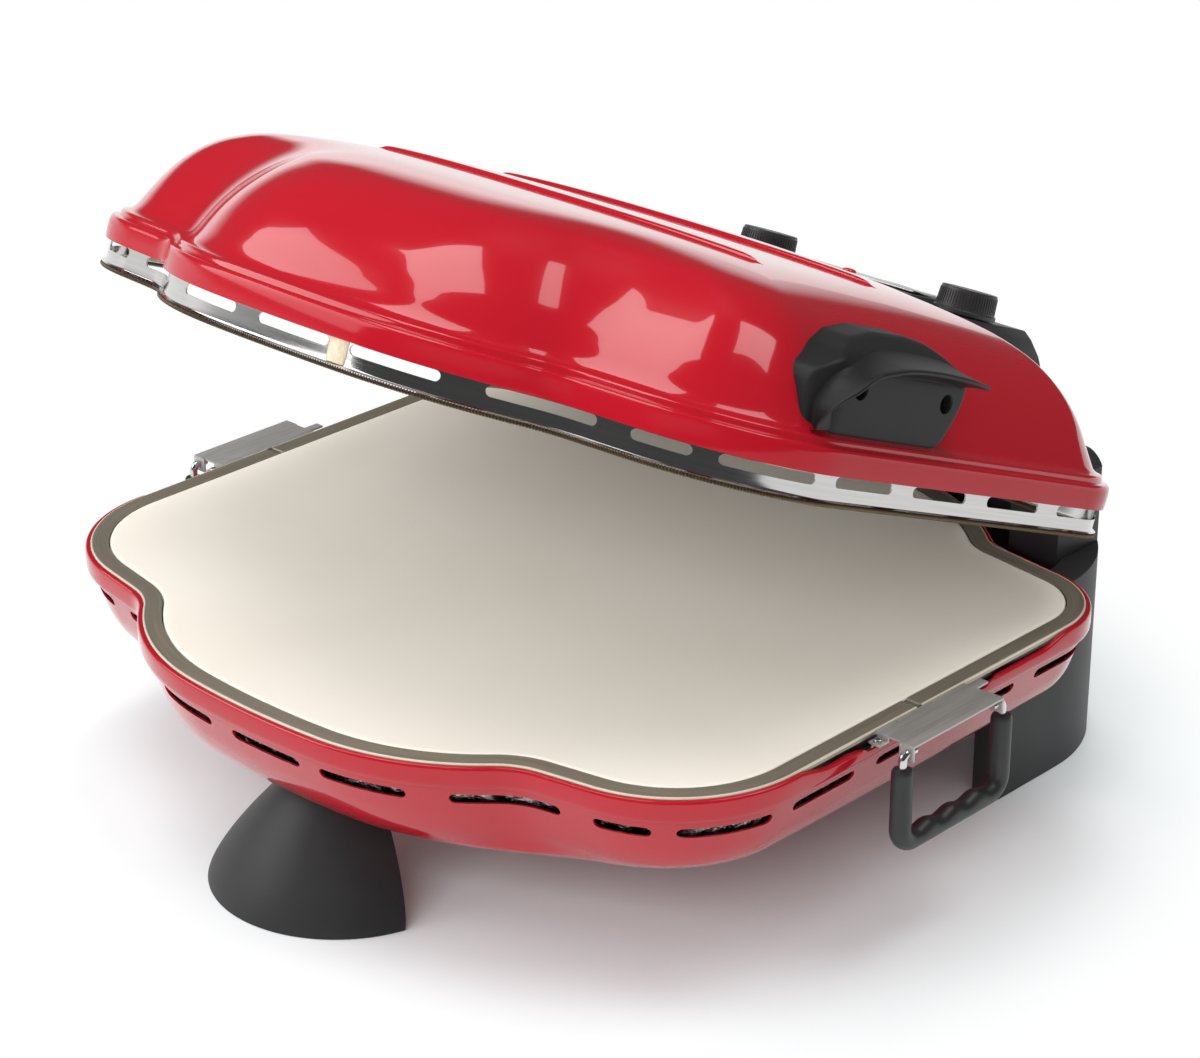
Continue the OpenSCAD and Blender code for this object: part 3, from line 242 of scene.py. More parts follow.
def outline_legs():
    """The outline's right half from the front to the back: arcs and straight runs.

    Each leg is [length, curvature, x, y, heading], the last three where it starts."""
    def quarter(shoulder, notch, corner_r):
        runs, spot = [], (0.0, 0.0, 0.0)
        for radius, turn in ((554.0, 5.27), shoulder, (-notch[0], -notch[1])):
            runs.append((radius * radians(turn), 1 / radius))
            spot = onwards(*spot, *runs[-1])
        x, _, heading = spot
        run = (half_w - corner_r * (1 - sin(heading)) - x) / cos(heading)
        return runs + [(run, 0.0), (corner_r * (pi / 2 - heading), 1 / corner_r)]

    def depth(runs):
        spot = (0.0, 0.0, 0.0)
        for run in runs:
            spot = onwards(*spot, *run)
        return spot[1]

    front = quarter((141.0, 39.36), (59.0, 33.8), 74.4)
    back = quarter((179.0, 36.7), (37.5, 33.6), 42.0)
    side = 2 * half_d - depth(front) - depth(back)
    found, spot = [], (0.0, -half_d, 0.0)
    for run in front + [(side, 0.0)] + back[::-1]:
        found.append((*run, *spot))
        spot = onwards(*spot, *run)
    return found


legs = outline_legs()
half_run = sum(leg[0] for leg in legs)


def edge(s):
    """Point and outward direction on the stone's edge, s mm along it from the front's middle."""
    side, rest = (-1 if s < 0 else 1), min(abs(s), half_run - 1e-9)
    for length, curve, x, y, heading in legs:
        if rest <= length:
            break
        rest -= length
    x, y, turned = onwards(x, y, heading, rest, curve)
    return side * x, y, side * sin(turned), -cos(turned)


def soft(t):
    """Goes from 0 to 1 with t, gently at both ends."""
    t = min(1.0, max(0.0, t))
    return t * t * (3 - 2 * t)


def between(a, b, share):
    """The place a share of the way from a to b."""
    return tuple(p * (1 - share) + q * share for p, q in zip(a, b))


def oval(x, y):
    """Where the line from the middle through a place meets a rounded oval as large as the stone."""
    r = hypot(x, y)
    f = ((abs(x / r) / half_w) ** oval_power + (abs(y / r) / half_d) ** oval_power) ** (1 / oval_power)
    return x / r / f, y / r / f


def wheel(sides):
    """The directions round a full turn, as [cosine, sine]."""
    return [(cos(2 * pi * i / sides), sin(2 * pi * i / sides)) for i in range(sides)]


def lofted(s, d):
    """The outline moved out by d; deep inside, it shrinks to the middle and its notches fade."""
    x, y, nx, ny = edge(s)
    plain = (x + d * nx, y + d * ny)
    if d >= -plain_in:
        return plain
    px, py = x - shrunk_in * nx, y - shrunk_in * ny
    k, k_oval = (half_w + d) / (half_w - shrunk_in), (half_w + d) / half_w
    ox, oy = oval(px, py)
    inner = between((px * k, py * k), (ox * k_oval, oy * k_oval), soft((-shrunk_in - d) / fade_in))
    return between(plain, inner, soft((-plain_in - d) / (shrunk_in - plain_in)))


def stops(pitch=3.5):
    """Distances along the whole edge at which it is sampled: steps of pitch at most, closer in bends."""
    right, start = [], 0.0
    for leg in legs:
        steps = max(1, ceil(leg[0] / pitch), ceil(abs(leg[0] * leg[1]) / turn_step))
        right += [start + leg[0] * i / steps for i in range(steps)]
        start += leg[0]
    right.append(half_run)
    return [-s for s in right[-2:0:-1]] + right


def bands(n, rows, first=0):
    """Faces between rows of n points, each row a ring; first is the number of their first point."""
    return [(a + i, a + (i + 1) % n, a + n + (i + 1) % n, a + n + i)
            for a in range(first, first + (rows - 1) * n, n) for i in range(n)]


def tube(n, rows):
    """Faces of rows of n points joined into a bar, with both its ends closed."""
    return bands(n, rows) + [tuple(range(n)), tuple(range((rows - 1) * n, rows * n))]


def capped(points, faces, first, n, middle):
    """Closes the ring of n points that starts at first with a fan to a middle point."""
    points.append(middle)
    faces += [(first + i, first + (i + 1) % n, len(points) - 1) for i in range(n)]


def outward(work, mesh):
    """Turns a bmesh's faces outwards and writes it to a mesh."""
    bmesh.ops.recalc_face_normals(work, faces=work.faces)
    work.to_mesh(mesh)
    work.free()
    return mesh


def solid(name, points, faces):
    """A mesh from points in metres and faces, with doubled points merged."""
    mesh = bpy.data.meshes.new(name)
    mesh.from_pydata(points, [], faces)
    work = bmesh.new()
    work.from_mesh(mesh)
    bmesh.ops.remove_doubles(work, verts=work.verts, dist=1e-6)
    return outward(work, mesh)


def settled(name, mesh, finish, body, stands_for=(), slot=None, sharp=35):
    """Puts a finished mesh on its body, smooth but for its sharp edges."""
    piece = placed(name, mesh)
    if not mesh.materials:
        mesh.materials.append(finish)
    mesh.shade_smooth()
    mesh.set_sharp_from_angle(angle=radians(sharp))
    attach(piece, body)
    if stands_for:
        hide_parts(*stands_for)
    return piece


def dressed(name, points, faces, *rest):
    """Makes a piece from its points and faces; the rest is what settled takes after the mesh."""
    return settled(name, solid(name, points, faces), *rest)


around = stops()
stone_clay = mottled("stone_clay", (0.84, 0.80, 0.72), 0.62, (9, 5),
                     (0.840, 0.775, 0.680), (0.870, 0.812, 0.722), (900, 0.25, 0.0002))
stone_profile = [(-1.2, -stone_h), (0, 1 - stone_h), (0, -1.2), (-0.35, -0.45), (-1.1, -0.05), (-3, 0),
                 (-34, 0), (-120, 0)]
stone_points = [on_base(*lofted(s, d), z) for d, z in stone_profile for s in around]
stone_faces = bands(len(around), len(stone_profile))
capped(stone_points, stone_faces, len(stone_points) - len(around), len(around), on_base(0, 0, 0))
capped(stone_points, stone_faces, 0, len(around), on_base(0, 0, -stone_h))
dressed("stone", stone_points, stone_faces, stone_clay, "base", ["baking_stone"], "stone")

# ---- Rim ----
# Two half frames of thin brushed steel round the stone, folded down at their outer edge.
# They meet at the middle of the sides with a narrow gap.
rim_in, rim_out, rim_gap, stop_room = 0.8, 12.0, 2.3, 0.8
fold_start, fold_end = 0.0107, 0.0112


def brushed(name, colour, roughness, scale=700, along=(0.02, 1, 1), source="UV", metallic=1.0):
    """Metal with fine scratches that run one way."""
    material = surface(name, colour, roughness, metallic)
    lines = noise(material, scale, 4, along, source)
    tinted(material, lines, tuple(c * 0.72 for c in colour), colour, 0.25, 0.75)
    worn(material, lines, roughness * 0.8, roughness * 1.3)
    grained(material, lines, 0.3, 0.00003)
    return material


def unrolled(piece, place_back):
    """Gives a piece that follows the edge a UV map: along the edge and across it, in metres."""
    marks = [(s, *edge(s)[:2]) for s in stops(6.0)]
    layer = piece.data.uv_layers.new(name="UVMap")
    spots = []
    for v in piece.data.vertices:
        x, y, z = place_back(v.co)
        s, ex, ey = min(marks, key=lambda m: (m[1] - x) ** 2 + (m[2] - y) ** 2)
        _, _, nx, ny = edge(s)
        dx, dy = x - ex, y - ey
        spots.append(((s - dx * ny + dy * nx) / 1000, (dx * nx + dy * ny + z) / 1000))
    for loop in piece.data.loops:
        layer.data[loop.index].uv = spots[loop.vertex_index]


def from_base(co):
    """A place in the row's frame, in mm from the stone's top face."""
    return co.x * 1000, co.y * 1000 + mid_y, co.z * 1000 - stone_top


def stop_at_y(wanted):
    """The stop on the right side where the stone's edge passes a given y."""
    low, high = 0.0, half_run
    for _ in range(60):
        middle = (low + high) / 2
        low, high = (middle, high) if edge(middle)[1] < wanted else (low, middle)
    return low


rim_steel = brushed("rim_steel", (0.52, 0.45, 0.35), 0.42)
# The folded outer edge is painted lighter and less metallic, a painted highlight along the fold
rim_tree = rim_steel.node_tree
rim_place = made(rim_tree, "ShaderNodeTexCoord").outputs["UV"]
rim_across = made(rim_tree, "ShaderNodeSeparateXYZ", {"Vector": rim_place}).outputs["Y"]
rim_highlight_band = ranged(rim_tree, rim_across, fold_start, fold_end)
rim_plain = shader_of(rim_steel).inputs["Base Color"].links[0].from_socket
rim_painted_highlight = {"Factor": rim_highlight_band, "A": rim_plain, "B": (0.72, 0.66, 0.54, 1)}
fed(shader_of(rim_steel), {
    "Base Color": made(rim_tree, "ShaderNodeMix", rim_painted_highlight, data_type="RGBA").outputs["Result"],
    "Metallic": ranged(rim_tree, rim_highlight_band, 0, 1, 0.8, 0.3)})
rim_profile = [
    (rim_in, -0.8), (rim_in, 0), (10.6, 0), (11.3, 0), (11.75, -0.2), (rim_out, -0.7), (rim_out, -3),
    (11.3, -3), (11.2, -0.8)]
front_end, rear_end = stop_at_y(-rim_gap), stop_at_y(rim_gap)
front_stops = [-front_end] + [s for s in stops(3.0) if abs(s) < front_end - stop_room] + [front_end]
rear_half = [s for s in stops(3.0) if s > rear_end + stop_room]
rear_stops = [rear_end] + rear_half + [-s for s in rear_half[::-1] if s < half_run - 0.01] + [-rear_end]
for half, rim_stops in (("front", front_stops), ("rear", rear_stops)):
    rim_points = [on_base(*lofted(s, d), z) for s in rim_stops for d, z in rim_profile]
    rim_faces = tube(len(rim_profile), len(rim_stops))
    unrolled(dressed("rim_" + half + "_steel", rim_points, rim_faces, rim_steel, "base", ["rim_" + half],
                     "rim_steel"), from_base)

# ---- Casing ----
# A deep-drawn steel bowl in glossy red stove enamel, with a rolled lip round its top.
# Vent slots are punched under the lip, and the lip dips and stops where the brackets come out.
slot_runs = [
    (-62, 50), (9, 54), (77, 52), (160, 68), (230, 30), (282, 50), (348, 52), (420, 52), (494, 53),
    (566, 50), (-160, 68), (-230, 30), (-282, 50), (-348, 52), (-420, 52), (-494, 53), (-566, 50)]
vent_z, vent_h, casing_sheet, slot_fade = -23.3, 6.6, 1.6, 4.2
belly_in, belly_reach = 50.0, 1.04
floor_z, floor_inside_z, lip_top_z = -72, -70.9, -1.0
lip_dip, dip_run, lip_out = 5.0, 30.0, 15.2
dip_none_z, dip_full_z = -13, -4
lip_gap, lip_gap_z, lip_corner = (-50.0, 60.0), -9.0, 8.0


def eased(points, steps=5):
    """A smooth curve through points, with steps stretches between each two of them."""
    out = []
    for i in range(len(points) - 1):
        a, b = points[max(i - 1, 0)], points[i]
        c, d = points[i + 1], points[min(i + 2, len(points) - 1)]
        for k in range(steps):
            t = k / steps
            out.append(tuple(
                0.5 * (2 * q + (r - p) * t + (2 * p - 5 * q + 4 * r - w) * t ** 2
                       + (3 * q - p - 3 * r + w) * t ** 3)
                for p, q, r, w in zip(a, b, c, d)))
    return out + [tuple(points[-1])]


def slot_columns(radius):
    """Stops along the edge, with extra ones that follow the rounded ends of the slots."""
    ends = [c + k * length / 2 for c, length in slot_runs for k in (-1, 1)]
    kept = [s for s in stops(4.0) if all(abs(s - e) > radius + 1.2 for e in ends)]
    for c, length in slot_runs:
        for k in (-1, 1):
            kept += [c + k * (length / 2 - radius + radius * sin(radians(a)))
                     for a in (0, 20, 40, 55, 70, 80, 90)]
            kept += [c + k * (length / 2 + u) for u in (0.8, 2.2, slot_fade)]
    return sorted(kept)


def slot_share(s, radius):
    """How far the slots' edge rows stand apart at s: 1 along a slot, 0 at its very ends."""
    c, length = min(slot_runs, key=lambda r: abs(s - r[0]) - r[1] / 2)
    outside = abs(s - c) - length / 2
    if outside >= 0:
        return min(1.0, outside / slot_fade)
    round_part = (outside + radius) / radius
    return 1.0 if round_part <= 0 else sqrt(max(0.0, 1 - round_part ** 2))


def slotted_shell(rows, slot_z, slot_h, sheet, spot, shaped=None, floored=False):
    """Points and faces of a sheet-metal wall of the given thickness with its slots left open.

    rows run upwards as [how far out, height]; a floored wall's lowest edge is left open."""
    radius = slot_h / 2
    columns = slot_columns(radius)
    below = [r for r in rows if r[1] < slot_z - radius - 0.01]
    above = [r for r in rows if r[1] > slot_z + radius + 0.01]

    def across(z):
        for a, b in zip(rows, rows[1:]):
            if a[1] <= z <= b[1] and b[1] > a[1]:
                return a[0] + (b[0] - a[0]) * (z - a[1]) / (b[1] - a[1])
        return rows[-1][0]

    grid = []
    for s in columns:
        half = radius * slot_share(s, radius)
        column = below + [(across(slot_z + k * half), slot_z + k * half) for k in (-1, 1)] + above
        grid.append(shaped(s, column) if shaped else column)
    n, rows_n = len(columns), len(grid[0])
    # Near its lower edge the wall lies flatter, so its inner layer is set higher there too
    points, flat_below, flat_lift = [], rows[0][1] + 4, 0.7
    for layer in (0.0, sheet):
        for s, column in zip(columns, grid):
            for d, z in column:
                points.append(spot(s, d - layer, z + (layer * flat_lift if z < flat_below else 0.0)))
    faces, used = [], {}
    lower_edge = len(below)
    for i in range(n):
        j = (i + 1) % n
        middle = (columns[i] + columns[j]) / 2
        open_here = j > 0 and any(abs(middle - c) < length / 2 for c, length in slot_runs)
        for k in range(rows_n - 1):
            if open_here and k == lower_edge:
                continue
            quad = (i * rows_n + k, j * rows_n + k, j * rows_n + k + 1, i * rows_n + k + 1)
            faces.append(quad)
            faces.append(tuple(v + n * rows_n for v in quad[::-1]))
            for a, b in zip(quad, quad[1:] + quad[:1]):
                used[(a, b)] = True
    for a, b in list(used):
        if (b, a) not in used and not (floored and a % rows_n == b % rows_n == 0):
            faces.append((b, a, a + n * rows_n, b + n * rows_n))
    return points, faces, n, rows_n


def base_spot(s, d, z):
    """A place on the casing: below the vents the outline's notches fade out into a round belly."""
    if d >= plain_in:
        return on_base(*lofted(s, d), z)
    x, y, nx, ny = edge(s)
    out = max(d, -plain_in)
    px, py = x + out * nx, y + out * ny
    k = min(1.0, (half_w + d) / (half_w - plain_in))
    ox, oy = oval(px, py)
    belly = (ox * (half_w + d) / half_w, oy * (half_d * belly_reach + d) / half_d)
    return on_base(*between((px * k, py * k), belly, soft((plain_in - d) / belly_in)), z)


def enamel(name):
    """Thick glossy red stove enamel with a faint ripple."""
    return mottled(name, (0.38, 0.006, 0.015), 0.16, (5, 2), (0.355, 0.005, 0.013), (0.38, 0.006, 0.015),
                   (55, 0.06, 0.0004), more={"Coat Weight": 0.8, "Coat Roughness": 0.025, "Coat IOR": 1.5,
                                             "Specular IOR Level": 0.2})


red_enamel = enamel("red_enamel")
side_run = [leg for leg in legs if leg[1] == 0 and abs(degrees(leg[4]) - 90) < 1e-6][0]
side_middle, side_half = side_run[3] + side_run[0] / 2, side_run[0] / 2


def lip_shape(s, column):
    """The lip dips along the straight sides, and stops with a round corner at the bracket."""
    x, y, _, _ = edge(s)
    if abs(x) < half_w - 0.01:
        return column
    dip = lip_dip * soft((side_half - abs(y - side_middle)) / dip_run)
    beyond = max(lip_gap[0] - y, y - lip_gap[1])
    if beyond <= 0:
        ceiling = lip_gap_z
    elif beyond < lip_corner:
        ceiling = lip_gap_z + (lip_top_z - dip - lip_gap_z) * sqrt(1 - (1 - beyond / lip_corner) ** 2)
    else:
        ceiling = 0.0
    shaped = []
    for d, z in column:
        share = max(0.0, min(1.0, (z - dip_none_z) / (dip_full_z - dip_none_z)))
        z -= dip * share
        shaped.append((lip_out if z > ceiling else d, min(z, ceiling)))
    return shaped


bowl = eased([(-84, floor_z), (-58, -70.4), (-33, -66.2), (-19, -61.8), (-10, -56.8), (-2, -49.8),
              (3.5, -40), (7.4, -28.6), (10.6, -18.6)], 4)
lip = [(11.2, -16.4), (11.45, -15.2), (11.8, -14.6), (12.6, -14.3), (14.0, -14.1), (14.75, -13.7),
       (15.15, -12.9), (15.4, -10.5), (15.4, -6.5), (15.35, -3.4), (15.15, -2.1), (14.75, -1.4),
       (14.2, -1.05), (13.6, lip_top_z)]
casing_points, casing_faces, casing_n, casing_rows = slotted_shell(
    bowl + lip, vent_z, vent_h, casing_sheet, base_spot, lip_shape, True)
floor_ring = [i * casing_rows for i in range(casing_n)]
for start, z in ((0, floor_z), (casing_n * casing_rows, floor_inside_z)):
    casing_points.append(on_base(0, 0, z))
    casing_faces += [(start + a, start + b, len(casing_points) - 1)
                     for a, b in zip(floor_ring, floor_ring[1:] + floor_ring[:1])]
dressed("casing_enamel", casing_points, casing_faces, red_enamel, "base", ["casing"], "red_enamel", 30)

# ---- Insulation ----
# Glass fibre faced with crinkled foil, packed round the tray behind the vents.
foil_skin = surface("foil_skin", (0.55, 0.55, 0.56), 0.25, 1.0)
foil_folds_shade_and_glints = noise(foil_skin, 130, 5)
# The foil's colour runs from near black to bright over the fold noise: painted shade and painted glints in
# the crinkles; the bump raises the folds themselves
tinted(foil_skin, foil_folds_shade_and_glints, (0.03, 0.03, 0.03), (0.75, 0.75, 0.76), 0.42, 0.62)
grained(foil_skin, foil_folds_shade_and_glints, 1.0, 0.004)


def finished(material, *nodes):
    """Gives CAD pieces that keep their own shape their finish."""
    for node in nodes:
        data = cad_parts[node].data
        data.materials.clear()
        data.materials.append(material)


finished(foil_skin, "foil_insulation")

# ---- Reflector, elements and stand-offs ----
# Folded aluminium pans carry the two heating tubes on ceramic-lined clips.
tray_metal = brushed("tray_metal", (0.62, 0.62, 0.63), 0.36, 60, (1, 1, 1), "Object")
tube_steel = mottled("tube_steel", (0.075, 0.068, 0.06), 0.5, (60,),
                     (0.05, 0.045, 0.04), (0.11, 0.10, 0.09), metallic=0.8)
zinc = surface("zinc", (0.60, 0.60, 0.60), 0.28, 1.0)
worn(zinc, noise(zinc, 400), 0.2, 0.38)
ceramic = mottled("ceramic", (0.80, 0.77, 0.70), 0.45, (120,), (0.76, 0.73, 0.66), (0.83, 0.80, 0.73))
finished(tray_metal, "lower_tray", "lid_reflector")
finished(tube_steel, "lower_element", "upper_element")
finished(zinc, "stand_offs", "lower_clips", "upper_clips", "hinge_pins", "shaft_left", "shaft_right",
         "thermostats")
finished(ceramic, "terminal_block", "lamp_body")

# ---- Bail brackets ----
# Bent steel plates that stick out between the lip's ends; each has two ears for the bail's wire.
bracket_steel = brushed("bracket_steel", (0.62, 0.60, 0.57), 0.5, 900, (1, 0.03, 1), "Object", 0.75)


def from_cad(name, node, finish, body, round_mm, slot):
    """The CAD piece with its flat faces made whole and its sharp edges rounded over."""
    work = bmesh.new()
    work.from_mesh(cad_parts[node].data)
    bmesh.ops.remove_doubles(work, verts=work.verts, dist=2e-6)
    bmesh.ops.dissolve_limit(work, angle_limit=radians(0.5), verts=work.verts, edges=work.edges)
    creases = [e for e in work.edges if e.is_manifold and e.calc_face_angle() > radians(30)]
    bmesh.ops.bevel(work, geom=creases, offset=round_mm / 1000, segments=3, profile=0.5,
                    affect="EDGES", clamp_overlap=True)
    settled(name, outward(work, bpy.data.meshes.new(name)), finish, body, [node], slot, 30)


for side in ("left", "right"):
    from_cad("bracket_plate_" + side, "bracket_" + side, bracket_steel, "base", 0.2, "sheet_steel")


# ---- Screws ----
# Zinc-plated pan-head screws with a cross recess, set where their holes are.
def cross_head(name, d, h, slot_l, slot_w, slot_deep):
    """A screw head that stands on z = 0, in mm, with a cross pressed into it."""
    work = bmesh.new()

    def ring(places, z, size=1.0):
        return [work.verts.new((x * size / 1000, y * size / 1000, z / 1000)) for x, y in places]

    def bridged(a, b):
        for i in range(len(a)):
            work.faces.new((a[i], a[(i + 1) % len(a)], b[(i + 1) % len(b)], b[i]))

    levels = [ring(wheel(32), z * h, r * d)
              for r, z in ((0.5, 0), (0.5, 0.35), (0.46, 0.7), (0.38, 0.93), (0.33, 1))]
    work.faces.new(levels[0][::-1])
    for a, b in zip(levels, levels[1:]):
        bridged(a, b)
    a, b = slot_w / 2, slot_l / 2
    cross = [(a, b), (-a, b), (-a, a), (-b, a), (-b, -a), (-a, -a), (-a, -b), (a, -b), (a, -a), (b, -a),
             (b, a), (a, a)]
    top, low = ring(cross, h), ring(cross, h - slot_deep, 0.7)
    bridged(low, top)
    work.faces.new(low)
    loop = [work.edges.get((p[i], p[(i + 1) % len(p)])) or work.edges.new((p[i], p[(i + 1) % len(p)]))
            for p in (levels[-1], top) for i in range(len(p))]
    bmesh.ops.triangle_fill(work, use_beauty=True, edges=loop)
    return placed(name, outward(work, bpy.data.meshes.new(name)))


def tree_of(name, inputs):
    """An empty Geometry Nodes tree with named inputs, and the sockets that give them."""
    tree = bpy.data.node_groups.new(name, "GeometryNodeTree")
    tree.interface.new_socket("Geometry", in_out="OUTPUT", socket_type="NodeSocketGeometry")
    for label, kind in {"Geometry": "Geometry", **inputs, "Material": "Material"}.items():
        tree.interface.new_socket(label, in_out="INPUT", socket_type="NodeSocket" + kind)
    return tree, tree.nodes.new("NodeGroupInput").outputs


def ended(tree, sizes, shape):
    """Ends a tree: its shape is made real and gets its material."""
    real = made(tree, "GeometryNodeRealizeInstances", {"Geometry": shape})
    paint = made(tree, "GeometryNodeSetMaterial", {"Geometry": real, "Material": sizes["Material"]})
    made(tree, "NodeGroupOutput", {"Geometry": paint})


def evaluated(thing, name):
    """A plain mesh of an object as its modifiers leave it, in place of the object."""
    bpy.context.view_layer.update()
    ready = thing.evaluated_get(bpy.context.evaluated_depsgraph_get())
    mesh = bpy.data.meshes.new_from_object(ready)
    thing.modifiers.clear()
    bpy.data.objects.remove(thing)
    mesh.name = name
    return mesh


def grown(name, points, edges, tree, values):
    """Runs a tree with its inputs set on points joined by edges, and returns a plain mesh."""
    seed_mesh = bpy.data.meshes.new(name + "_seed")
    seed_mesh.from_pydata(points, edges, [])
    seed = placed(name + "_seed", seed_mesh)
    growth = seed.modifiers.new("growth", "NODES")
    growth.node_group = tree
    for item in tree.interface.items_tree:
        if item.in_out == "INPUT" and item.name in values:
            growth[item.identifier] = values[item.name]
    return evaluated(seed, name)


heads, sizes = tree_of("screw_heads", {"Head": "Object", "Turn": "Vector"})
head_shape = made(heads, "GeometryNodeObjectInfo", {"Object": sizes["Head"]}, transform_space="ORIGINAL")
head_turn = made(heads, "FunctionNodeEulerToRotation", {"Euler": sizes["Turn"]})
heads_put = made(heads, "GeometryNodeInstanceOnPoints", {
    "Points": sizes["Geometry"], "Instance": head_shape.outputs["Geometry"], "Rotation": head_turn})
ended(heads, sizes, heads_put)


def screws(name, head, spots, turn, body, stands_for):
    """The same screw head at each of the spots, turned the same way."""
    mesh = grown(name, spots, [], heads, {"Head": head, "Turn": turn, "Material": zinc})
    settled(name, mesh, zinc, body, stands_for)


# ---- Front foot ----
# A hollow moulded foot under the casing's front, flared towards the table.
charcoal = mottled("charcoal", (0.018, 0.018, 0.019), 0.5, (30,),
                   (0.016, 0.016, 0.017), (0.020, 0.020, 0.021), (1600, 0.35, 0.0001))
foot_axis, foot_cut, foot_lean, foot_wall = -191.0, -215.0, 0.4, 4.0
foot_low, foot_high, foot_root = -131.6, -62.0, -52.0
foot_root_r, foot_flare = 15, 65


def foot_r(z):
    """The foot's radius at a height: narrow at its root, wide on the table."""
    return foot_root_r + foot_flare * (1 - ((z - foot_low) / (foot_root - foot_low)) ** 1.25)


foot_rows, foot_steps = 26, 48
foot_points = []
for k in range(foot_rows + 1):
    z = foot_low + (foot_high - foot_low) * k / foot_rows
    for wall, way in ((0.0, 1), (foot_wall, -1)):
        r = foot_r(z) - wall
        reach = acos(min(1.0, (foot_axis - foot_cut - foot_lean * (z - foot_low)) / r))
        for i in range(foot_steps + 1):
            turn = way * reach * (2 * i / foot_steps - 1)
            foot_points.append(on_base(r * sin(turn), foot_axis - r * cos(turn), z))
foot_n = 2 * (foot_steps + 1)
foot_faces = bands(foot_n, foot_rows + 1)
foot_faces += [(a + i, a + i + 1, a + foot_n - 2 - i, a + foot_n - 1 - i)
               for a in (0, foot_rows * foot_n) for i in range(foot_steps)]
dressed("foot_front", foot_points, foot_faces, charcoal, "base", ["front_foot"], "black_plastic")

# ---- Rear support and hinge towers ----
# The moulded support runs across the back; a tower on each side carries the lid's hinge pin.
from_cad("support_rear", "rear_support", charcoal, "base", 1.2, "black_plastic")
for side in ("left", "right"):
    from_cad("tower_" + side, "hinge_tower_" + side, charcoal, "base", 1.5, "black_plastic")
rubber = surface("rubber", (0.05, 0.05, 0.052), 0.75)
grained(rubber, noise(rubber, 800), 0.3, 0.0001)
finished(rubber, "foot_pads")
finished(charcoal, "cord_gland")

# ---- Bails ----
# A bright steel wire hangs in each bracket's ears, with a soft grip moulded round its bar.
wire_steel = surface("wire_steel", (0.68, 0.68, 0.68), 0.16, 1.0)
worn(wire_steel, noise(wire_steel, 300), 0.12, 0.24)
grip_rubber = mottled("grip_rubber", (0.018, 0.018, 0.019), 0.42, (50,),
                      (0.016, 0.016, 0.017), (0.021, 0.021, 0.022), (1500, 0.25, 0.00008))
bail_x, bail_z, wire_r = 296.0, -5.5, 2.5
arm_y, arm_r, ear_y, ear_r = 45, 10, 34.8, 4
wire_drop, grip_drop, bar_drop = 12, 8.5, 55.5
grip_r, grip_bar_half, finger_pitch, finger_ridge, finger_dip = 6.25, 33, 22, 1.6, 0.9


def swept(x, path, girth, sides):
    """Points and faces of a bar along a path of [y, z] in a plane of constant x, with closed ends.

    girth(i, inside) is its radius at step i; inside is 1 on the inside of its bend and -1 outside."""
    points, n = [], len(path)
    for i, (y, z) in enumerate(path):
        a, b = path[max(i - 1, 0)], path[min(i + 1, n - 1)]
        size = dist(a, b)
        ny, nz = (b[1] - a[1]) / size, (a[0] - b[0]) / size
        for c, w in wheel(sides):
            r = girth(i, c)
            points.append(on_base(x + r * w, y - r * c * ny, z - r * c * nz))
    return points, tube(sides, n)


def bend(middle, r, start, end, steps=10):
    """Points on an arc in the plane of [y, z], from one angle to another, in degrees."""
    return [(middle[0] + r * cos(radians(start + (end - start) * i / steps)),
             middle[1] + r * sin(radians(start + (end - start) * i / steps)))
            for i in range(steps + 1)]


wire_path = [(-ear_y, bail_z)] + bend((ear_r - arm_y, bail_z - ear_r), ear_r, 90, 180)
wire_path.append((-arm_y, bail_z - wire_drop))
arm = bend((arm_r - arm_y, bail_z + arm_r - bar_drop), arm_r, 180, 270)
grip_end = [(-arm_y, bail_z - grip_drop - down) for down in (0, 0.01, 1.2, 3, 8, 14, 20, 26, 32, 36)]
grip_path = grip_end + arm + [(y, bail_z - bar_drop) for y in range(1 - grip_bar_half, grip_bar_half)]
grip_path += [(-y, z) for y, z in (grip_end + arm)[::-1]]


def grip_girth(i, inside):
    """Rounded at both ends, with three waves on the inside of the bar for the fingers."""
    y, z = grip_path[i]
    end = min(i, len(grip_path) - 1 - i)
    r = grip_r - (1.6, 0.8, 0.2)[end] if end < 3 else grip_r
    if z < bail_z - 50 and abs(y) < grip_bar_half:
        wave = 0.5 - 0.5 * cos(2 * pi * (abs(y) + finger_pitch / 2) / finger_pitch)
        r += (finger_ridge * wave - finger_dip * (1 - wave)) * max(0.0, inside) ** 1.5
    return r


for side, x in (("left", -bail_x), ("right", bail_x)):
    bail = "bail_" + side
    wire_points, wire_faces = [], []
    for flip in (1, -1):
        more, more_faces = swept(x, [(flip * y, z) for y, z in wire_path], lambda i, inside: wire_r, 20)
        wire_faces += [tuple(v + len(wire_points) for v in f) for f in more_faces]
        wire_points += more
    dressed("wire_" + side, wire_points, wire_faces, wire_steel, bail, ["bail_wire_" + side],
            "polished_steel", 50)
    dressed("grip_bar_" + side, *swept(x, grip_path, grip_girth, 28), grip_rubber, bail, ["grip_" + side],
            "grip_black", 50)

# ---- Lid shell ----
# The dome is one deep-drawn steel pressing in the same red enamel, with two raised ribs on top.
# It is drawn closed here and stands open about the hinge at the back.
hinge_y, hinge_z, open_turn = 279.5, 26.0, radians(22)
lid_sheet, lid_top, lid_ceiling = 1.6, 117, 115.4
lip_dull_z, lip_bright_z = 31, 36


def hinged(x, y, z, turn):
    """A place turned about the hinge."""
    dy, dz = y - hinge_y, z - hinge_z
    return x, hinge_y + dy * cos(turn) + dz * sin(turn), hinge_z - dy * sin(turn) + dz * cos(turn)


def on_lid(x, y, z):
    """A place on the closed lid, in mm from the stone's top face, opened into the row's frame."""
    return on_base(*hinged(x, y, z, open_turn))


def from_lid(co):
    """A place in the row's frame, in mm on the closed lid."""
    return hinged(*from_base(co), -open_turn)


